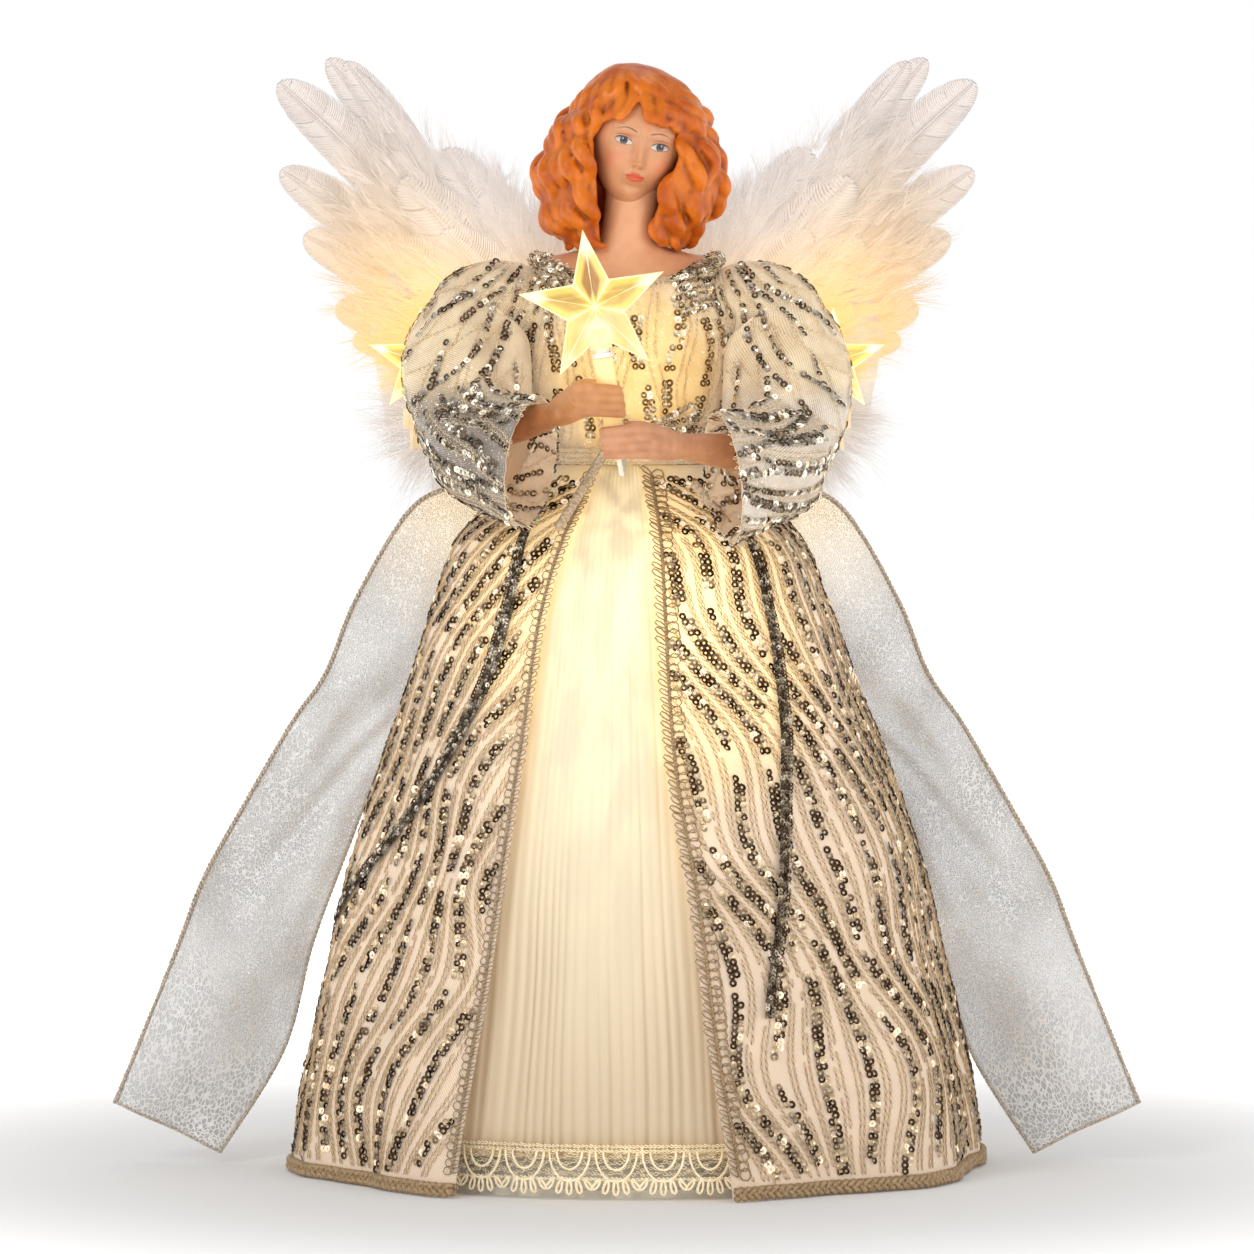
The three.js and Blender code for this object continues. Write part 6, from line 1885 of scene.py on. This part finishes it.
class MouldBust(bpy.types.Operator):
    """The painted head, the neck and the shoulders"""

    bl_idname = "angel.mould_bust"
    bl_label = "Head and neck"

    def execute(self, context):
        finish = skin_finish("Painted skin")
        around = 2 * np.pi * np.arange(180) / 180
        up = (np.linspace(-0.5, 0.5, 110) * np.pi * 0.998)[:, None]
        local = head_point((around - 0.55 * np.sin(around))[None, :], up).reshape(-1, 3)
        x, y, z = local.T / MM
        paint = np.where((y < -2)[:, None], face_paint(x, z), SKIN)
        parts = [turned_out(solid("head", tilt_head(local), capped_faces(110, 180), finish, paint=paint))]
        for label, cx, cz, wide, tall, n in (
            ("left_eye", FACE_TURN - 6.5, 1.4, 10.2, 8.4, 64),
            ("right_eye", FACE_TURN + 6.5, 1.4, 10.2, 8.4, 64),
            ("lips", FACE_TURN, -12.9, 9.0, 5.6, 54),
        ):
            x = (cx + np.linspace(-0.5, 0.5, n) * wide)[None, :] * MM
            z = (cz + np.linspace(-0.5, 0.5, n) * tall)[:, None] * MM
            outer = tilt_head(face_patch_point(x, z, 0.05 * MM))
            paint = face_paint(x / MM, z / MM)
            parts.append(turned_out(cloth("patch_" + label, outer, finish, wall=0.05 * MM, paint=paint)))
        wear(joined("doll_head", parts), "root", "skin", "bust")
        turn = np.arange(96) / 96
        angle = 2 * np.pi * turn
        ring = np.stack([np.sin(angle), -np.cos(angle), 0 * angle], -1) * NECK_RADIUS
        edge = bodice_point(turn, np.ones_like(turn), -1.4 * MM)
        rows = [bodice_point(turn, np.full_like(turn, share), -1.6 * MM) for share in (0.86, 0.92, 0.97)]
        foot, top = np.array(NECK_FOOT), np.array(NECK_TOP)
        for share in np.linspace(0, 1, 26):
            row = edge + (foot + ring - edge) * smooth(share) ** 0.8
            row[:, 2] = edge[:, 2] + (foot[2] - edge[:, 2]) * share**1.5
            rows.append(row)
        for share in np.linspace(0.06, 1, 22):
            rows.append(foot + (top - foot) * share + ring * (1 - 0.05 * math.sin(math.pi * share)))
        skin = skin_finish("Neck skin", paint=False)
        wear(turned_out(solid("neck", rows, capped_faces(len(rows), 96), skin)), "root", "skin")
        return {"FINISHED"}


# Hair: locks of grooved strands, fused into one moulded piece

# The hair's plan at heights from the parting down, in millimetres: height, middle, half width, middle's
# depth, half depth, and where it opens for the face on either side
HAIR_PLAN = np.array([
    (402.0, -0.5, 3.0, -8.0, 4.0, -0.7, -0.3),
    (399.5, 2.0, 11.0, -8.0, 11.5, -1.2, 0.0),
    (394.0, 3.3, 17.5, -7.0, 17.5, -2.0, 3.0),
    (387.0, 3.5, 22.5, -6.5, 20.5, -8.0, 13.0),
    (379.0, 2.0, 27.0, -6.0, 21.0, -12.5, 20.0),
    (370.0, 1.0, 31.0, -6.0, 21.5, -12.5, 19.5),
    (360.0, 1.8, 33.5, -4.0, 21.0, -11.5, 15.5),
    (350.0, 0.0, 30.5, -2.0, 19.0, -11.0, 11.0),
    (342.5, 0.0, 25.0, -1.5, 17.0, -10.5, 10.5),
    (337.5, 0.0, 20.0, -1.0, 14.0, -10.0, 12.0),
])
HAIR_LOCKS = 27

# Fringe locks on the head, in millimetres from its middle: across and up, from the parting to the tip
FRINGE = [
    ([(-9, 25), (-5.5, 20), (-4.5, 15), (-6.5, 9.5), (-9.5, 6.8)], 1.9),
    ([(-10, 25), (-9.5, 19), (-8.5, 13.5), (-11, 8.5), (-14.5, 5.5)], 2.1),
    ([(-11, 24), (-13.5, 18), (-12.5, 12), (-14.5, 6.5), (-16.5, -1)], 2.2),
    ([(-8, 25), (-3.0, 20), (0.5, 14.5), (2.2, 9.8), (5.2, 8.6)], 1.9),
    ([(-7.5, 25.5), (1.5, 21.5), (5.5, 15.5), (6.6, 9.6), (9.8, 8.3)], 2.1),
    ([(-7, 25.5), (6, 22), (11, 15.5), (11.6, 9.6), (14.6, 7.2)], 2.2),
    ([(-6, 26), (9, 22), (15, 14.5), (16.4, 8), (19, 1.5)], 2.3),
    ([(-5, 26.5), (11, 22.5), (17.5, 15), (19, 8.5), (20.5, 2)], 2.3),
    ([(-11.5, 23.5), (-15.5, 17.5), (-16, 11.5), (-18, 6), (-19.5, 0)], 2.2),
]


def hair_point(turn, share, lift=0.0):
    """A point of the hair: turn runs from the face's right edge round the back to its left edge."""
    turn, share = np.broadcast_arrays(np.asarray(turn, float), np.asarray(share, float))
    row = spline(HAIR_PLAN, share)
    openings = [np.arcsin(np.clip((row[..., k] - row[..., 1]) / row[..., 2], -0.95, 0.95)) for k in (5, 6)]
    angle = openings[1] + turn * (2 * np.pi + openings[0] - openings[1])
    x = row[..., 1] + (row[..., 2] + lift) * np.sin(angle)
    y = row[..., 3] - (row[..., 4] + lift) * np.cos(angle)
    return np.stack([x, y, row[..., 0]], -1) * MM


def lock(path, width, strand, out, count=5, twist=0.5):
    """Strands round a path: a thick one in the middle and thinner ones about it. Gives paths and radii."""
    path, out = np.asarray(path, float), unit(out)
    share = np.linspace(0, 1, len(path))
    ahead = unit(np.gradient(path, axis=0))
    across = unit(np.cross(ahead, out))
    over = np.cross(across, ahead)
    width = np.broadcast_to(width, len(path)) * (1 - 0.5 * smooth((share - 0.86) / 0.14))
    found = [(path, 0.8 * width)]
    for index in range(count):
        turn = 2 * np.pi * (index / count + twist * share)
        offset = across * (np.cos(turn) * width)[:, None] + over * (0.55 * np.sin(turn) * width)[:, None]
        found.append((path + offset * 0.72, strand * (0.4 + 0.6 * width / width.max())))
    return found


def hanging_locks(rng):
    """The waved locks that hang from the parting all round the head."""
    share = np.linspace(0.02, 1, 90)
    found = []
    for index in range(HAIR_LOCKS):
        turn = np.full_like(share, (index + 0.5) / HAIR_LOCKS)
        path = hair_point(turn, share)
        side = hair_point(turn + 0.5 / HAIR_LOCKS, share) - hair_point(turn - 0.5 / HAIR_LOCKS, share)
        spacing = np.linalg.norm(side, axis=-1)
        across = unit(side)
        out = unit(np.cross(across, np.gradient(path, axis=0)))
        out = out * np.sign(np.sum(out * (path - [0, -4 * MM, 0.365]), -1, keepdims=True))
        grow = smooth((share - 0.12) / 0.3)
        phase = 2 * np.pi * (4.9 * rng.uniform(0.9, 1.12) * share + 0.16 * index) + rng.uniform(-0.8, 0.8)
        hook = smooth((share - 0.88) / 0.12) * rng.choice([-1, 1]) * 2.2
        path = path + across * ((2.5 * grow * np.sin(phase) + hook) * MM)[:, None]
        lift = (1.9 * grow * np.sin(phase + 1.3) + grow * (index % 3 - 1) * 0.8) * MM
        path = path + out * lift[:, None]
        width = np.clip(0.56 * spacing, 1.4 * MM, 3.5 * MM) * (1 + 0.2 * grow * np.sin(phase + 2.6))
        found.extend(lock(path, width, 1.1 * MM, out))
    return found


def fringe_locks():
    found = []
    for keys, width in FRINGE:
        flat = spline(np.array(keys), np.linspace(0, 1, 50)) * MM
        half = HEAD_HALF + 2.2 * MM
        x, z = flat.T
        deep = half[1] * np.sqrt(np.clip(1 - (x / half[0]) ** 2 - (z / half[2]) ** 2, 0.02, 1))
        path = np.stack([x, -deep, z], -1)
        found.extend(lock(tilt_head(path), width * MM, 0.85 * MM, tilt_head(path) - HEAD_CENTRE, twist=0.35))
    return found


class MouldHair(bpy.types.Operator):
    """The moulded copper hair"""

    bl_idname = "angel.mould_hair"
    bl_label = "Hair"

    def execute(self, context):
        finish = hair_finish()
        paths, radii = zip(*hanging_locks(np.random.default_rng(5)), *fringe_locks())
        locks = tubes("hair_locks", paths, list(radii), 7, finish)
        turn, share = np.linspace(0, 1, 90)[None, :], np.linspace(0.02, 0.97, 50)[:, None]
        under = cloth("hair_under", hair_point(turn, share, -2.0), finish, wall=2.4 * MM)
        top = hair_point(np.linspace(0, 1, 40), 0.02).mean(0)
        crown = top + np.outer([-5.0, -2.5, -0.4], [0, 0, MM])
        cap = tubes("hair_crown", [crown], [mm(5.5, 5.5, 3.6)], 14, finish)
        wear(fused("moulded_hair", [locks, turned_out(under), cap], 0.86 * MM, 2), "root", "hair", "hair")
        return {"FINISHED"}


def hair_finish():
    finish = Finish(
        "Copper moulded hair", Roughness=0.33, Specular_IOR_Level=0.3, Coat_Weight=0.08, Coat_Roughness=0.15,
    )
    streak = finish.noise(150.0, 4.0, finish.stretched(1.0, 1.0, 0.4))
    tone = finish.fade(streak, 0.3, 0.7, tint(180, 78, 4), tint(220, 118, 22))
    # Painted shade darkens the hair's crevices, where the surface curves inwards.
    crevice_shade = finish.node("ShaderNodeNewGeometry")["Pointiness"]
    finish.set("Base Color", finish.fade(crevice_shade, 0.42, 0.52, tint(100, 38, 2), tone))
    finish.bump(streak, 0.0002, 0.4)
    finish.lit(tint(255, 170, 80), [((-0.01, -0.06, 0.335), 0.03, 0.12)])
    return finish.material


# Arms and hands

# Dark and light tone of each arm, the left one painted darker as shade, and its share of the candle's light
ARM_TONES_LEFT_SHADED = {-1: (((146, 88, 50), (166, 104, 64)), 1.5), 1: (((188, 129, 90), (202, 143, 103)), 0.3)}


class ShapeArms(bpy.types.Operator):
    """The forearms, and the hands that hold the candle"""

    bl_idname = "angel.shape_arms"
    bl_label = "Arms and hands"

    def execute(self, context):
        for side, name in SIDES:
            skin = skin_finish(f"{name.title()} arm skin", False, *ARM_TONES_LEFT_SHADED[side])
            grip, wrist, elbow = CANDLE_FOOT + CANDLE_UP * GRIP_RISE[side], WRIST[side], elbow_point(side)
            knuckle = grip + mm(side * 9.2, -2.6, 0.6)
            heel = wrist * 0.62 + knuckle * 0.38 + mm(0, -0.6, 0)
            arm = [elbow, elbow * 0.5 + wrist * 0.5, wrist, heel]
            limbs = [(arm, 24, [0, 0.4, 0.7, 1.0], [7.2, 6.2, 4.5, 3.9])]
            for spread in (-1.5, -0.5, 0.5, 1.5):
                lift = CANDLE_UP * spread * 2.95 * MM
                finger = [
                    wrist + lift * 0.35, heel + lift * 0.72, knuckle + lift * 1.02,
                    grip + lift + mm(side * 4.2, -5.7, 0.3), grip + lift + mm(-side * 1.2, -5.6, -0.1),
                    grip + lift + mm(-side * (5.4 - 0.45 * abs(spread)), -3.3, -0.4),
                ]
                limbs.append((finger, 30, [0, 0.2, 0.45, 0.62, 0.85, 1], [2.6, 2.7, 2.15, 1.75, 1.6, 1.3]))
            for depth in (1.2, 2.6):
                pad = [wrist, heel + mm(0, depth, 0), knuckle + mm(side * 1.5, depth, 0)]
                limbs.append((pad, 24, [0, 0.5, 1], [3.6, 3.9, 3.4]))
            thumb = [
                heel + mm(0, 1.5, 3.0), knuckle + mm(side * 1.0, 4.4, 4.6),
                grip + mm(side * 2.0, 5.6, 5.4), grip + mm(-side * 3.4, 4.6, 5.6),
            ]
            limbs.append((thumb, 24, [0, 0.5, 1], [2.6, 2.0, 1.5]))
            paths, radii = [], []
            for keys, count, places, sizes in limbs:
                t = np.linspace(0, 1, count)
                paths.append(spline(np.array(keys), t))
                radii.append(np.interp(t, places, sizes) * MM)
            limbs = tubes(f"{name}_arm", paths, radii, 14, skin)
            wear(fused(f"{name}_arm_and_hand", [limbs], 0.52 * MM, 5), "root", "skin", f"{name}_forearm")
        return {"FINISHED"}


class FinishFrame(bpy.types.Operator):
    """Finishes for the pieces inside that keep their own shape"""

    bl_idname = "angel.finish_frame"
    bl_label = "Inner pieces"

    def execute(self, context):
        glass = Finish("Lamp glass", Roughness=0.05, IOR=1.45)
        glow = glass.noise(200.0)
        glass.set("Base Color", glass.mix(glow, tint(255, 240, 190), tint(255, 226, 150)))
        glass.glow(glass.mix(glow, tint(255, 236, 170), tint(255, 216, 120)), 1.6)
        board, plastic, steel, card, lead, wax, amber = (
            mottled(name, tint(*dark), tint(*light), scale, bump, Roughness=rough, Metallic=metal)
            for name, dark, light, scale, bump, rough, metal in (
                ("Cone board", (206, 200, 188), (236, 232, 222), 160.0, 0.0002, 0.8, 0),
                ("White plastic", (224, 222, 214), (242, 240, 234), 90.0, 0.00005, 0.4, 0),
                ("Arm wire", (120, 120, 118), (176, 176, 172), 500.0, 0, 0.35, 0.9),
                ("Wing card", (232, 228, 220), (246, 243, 238), 220.0, 0.0001, 0.85, 0),
                ("Lamp lead", (216, 212, 200), (238, 234, 224), 300.0, 0, 0.5, 0),
                ("Candle plastic", (238, 202, 132), (248, 220, 160), 120.0, 0.00005, 0.3, 0),
                ("Lit socket", (206, 180, 142), (226, 202, 166), 120.0, 0.00005, 0.4, 0),
            )
        )
        lead.lit(tint(255, 226, 160), [((-0.002, -0.09, 0.256), 0.03, 0.2)])
        wax_spots = [((-0.008, -0.092, 0.31), 0.05, 0.5), ((-0.003, -0.092, 0.262), 0.02, 0.2)]
        wax.lit(tint(255, 206, 120), wax_spots)
        amber.lit(tint(255, 210, 130), [((side * 0.076, 0.027, 0.29), 0.04, 0.4) for side in (-1, 1)])
        for look, nodes in {
            board: ["tree_cone", "torso_core"],
            plastic: ["star_socket", *(f"skirt_socket_{i}" for i in range(1, 5))],
            amber: ["wing_bracket", "left_side_socket", "right_side_socket"],
            steel: ["arm_wire"],
            lead: ["light_string"],
            card: ["left_wing_card", "right_wing_card"],
            wax: ["candle_tube"],
            glass: ["star_bulb", "left_side_bulb", "right_side_bulb"]
            + [f"skirt_bulb_{i}" for i in range(1, 5)],
        }.items():
            for node in nodes:
                materials = frame["nodes"][node].data.materials
                materials.clear()
                materials.append(look.material)
        return {"FINISHED"}


# Studio

class StageSettings(bpy.types.PropertyGroup):
    camera_distance: size_property("Camera distance", "From the camera to the middle of the angel", 3.0)
    camera_elevation: FloatProperty(
        name="Camera elevation", description="Angle of the camera above the angel",
        default=math.radians(3), subtype="ANGLE",
    )
    camera_height: size_property("Aim", "Height that the camera looks at", 0.198)
    pixel: size_property("Pixel", "Width of one pixel of the photograph at the angel", 0.366 * MM, 6)
    key: FloatProperty(name="Key", description="Power of the main soft light", default=5.0, unit="POWER")


PHOTO_WIDTH = 1254  # pixels
SENSOR = 36.0  # millimetres


class SetStage(bpy.types.Operator):
    """The camera at the photograph's angle, a pale floor and soft studio light"""

    bl_idname = "angel.set_stage"
    bl_label = "Stage"

    def execute(self, context):
        scene = context.scene
        settings = scene.angel_stage
        lift = settings.camera_elevation
        back = Vector((0, -math.cos(lift), math.sin(lift)))
        camera = bpy.data.objects.new("Camera", bpy.data.cameras.new("Camera"))
        scene.collection.objects.link(camera)
        camera.location = Vector((0, 0, settings.camera_height)) + back * settings.camera_distance
        camera.rotation_euler = (-back).to_track_quat("-Z", "Y").to_euler()
        camera.data.sensor_width = SENSOR
        camera.data.lens = SENSOR * settings.camera_distance / (PHOTO_WIDTH * settings.pixel)
        scene.camera = camera
        scene.view_settings.view_transform = "Standard"
        paper = Finish("White paper", Roughness=0.9)
        paper.set("Base Color", paper.mix(paper.noise(3.0), (0.9, 0.9, 0.9), (0.93, 0.93, 0.93)))
        away = paper.node("ShaderNodeVectorMath", {0: paper.place}, operation="LENGTH")["Value"]
        paper.glow((1.0, 1.0, 1.0), paper.range(away, 0.16, 0.6, 0.0, 1.0))
        rim = [[6 * math.cos(t), 6 * math.sin(t), 0] for t in np.linspace(0, 2 * np.pi, 65)[:-1]]
        solid("floor", rim, [range(64)], paper.material)
        world = scene.world = bpy.data.worlds.new("Studio")
        world.use_nodes = True
        tree = world.node_tree
        ground = next(n for n in tree.nodes if n.type == "BACKGROUND").inputs
        place = add_node(tree, "ShaderNodeTexCoord")["Generated"]
        height = add_node(tree, "ShaderNodeSeparateXYZ", {0: place})["Z"]
        span = {"Value": height, "From Min": 0.25, "From Max": 0.6, "To Min": 1.0, "To Max": 0.55}
        feed(tree, ground["Color"], (1, 1, 1, 1))
        feed(tree, ground["Strength"], add_node(tree, "ShaderNodeMapRange", span)["Result"])
        for name, place, size, power in (
            ("Key", (-0.9, -1.3, 1.1), 0.5, settings.key),
            ("Fill", (1.2, -1.1, 0.6), 0.7, 0.45 * settings.key),
            ("Top", (0.1, 0.5, 1.6), 0.8, 0.6 * settings.key),
        ):
            light = bpy.data.lights.new(name, "AREA")
            light.size = size
            light.energy = power
            lamp = bpy.data.objects.new(name, light)
            scene.collection.objects.link(lamp)
            lamp.location = place
            lamp.rotation_euler = (Vector((0, 0, 0.2)) - Vector(place)).to_track_quat("-Z", "Y").to_euler()
        return {"FINISHED"}


class AngelPanel(bpy.types.Panel):
    """Lists the angel's sizes and pieces"""

    bl_idname = "VIEW3D_PT_angel"
    bl_label = "Angel tree topper"
    bl_space_type = "VIEW_3D"
    bl_region_type = "UI"
    bl_category = "Angel"

    def draw(self, context):
        for name, kind in SETTINGS.items():
            column = self.layout.column()
            for key in kind.__annotations__:
                column.prop(getattr(context.scene, name), key)
        for piece in PIECES:
            self.layout.operator(piece.bl_idname)


PIECES = (SetStage, DressRobe, DressUnderskirt, DressBraids, DressWings, HangRibbons, LightStars,
          DressSleeves, DressBodice, LaySashTails, MouldBust, MouldHair, ShapeArms, FinishFrame)
SETTINGS = {"angel_gown": GownSettings, "angel_wings": WingSettings, "angel_stage": StageSettings}


def register():
    for kind in (*SETTINGS.values(), *PIECES, AngelPanel):
        bpy.utils.register_class(kind)
    for key, kind in SETTINGS.items():
        setattr(bpy.types.Scene, key, PointerProperty(type=kind))


def unregister():
    for key in SETTINGS:
        delattr(bpy.types.Scene, key)
    for kind in (AngelPanel, *reversed(PIECES), *SETTINGS.values()):
        bpy.utils.unregister_class(kind)


def main():
    register()
    for piece in PIECES:
        group, name = piece.bl_idname.split(".")
        getattr(getattr(bpy.ops, group), name)()
    bpy.context.view_layer.update()


if __name__ == "__main__":
    main()
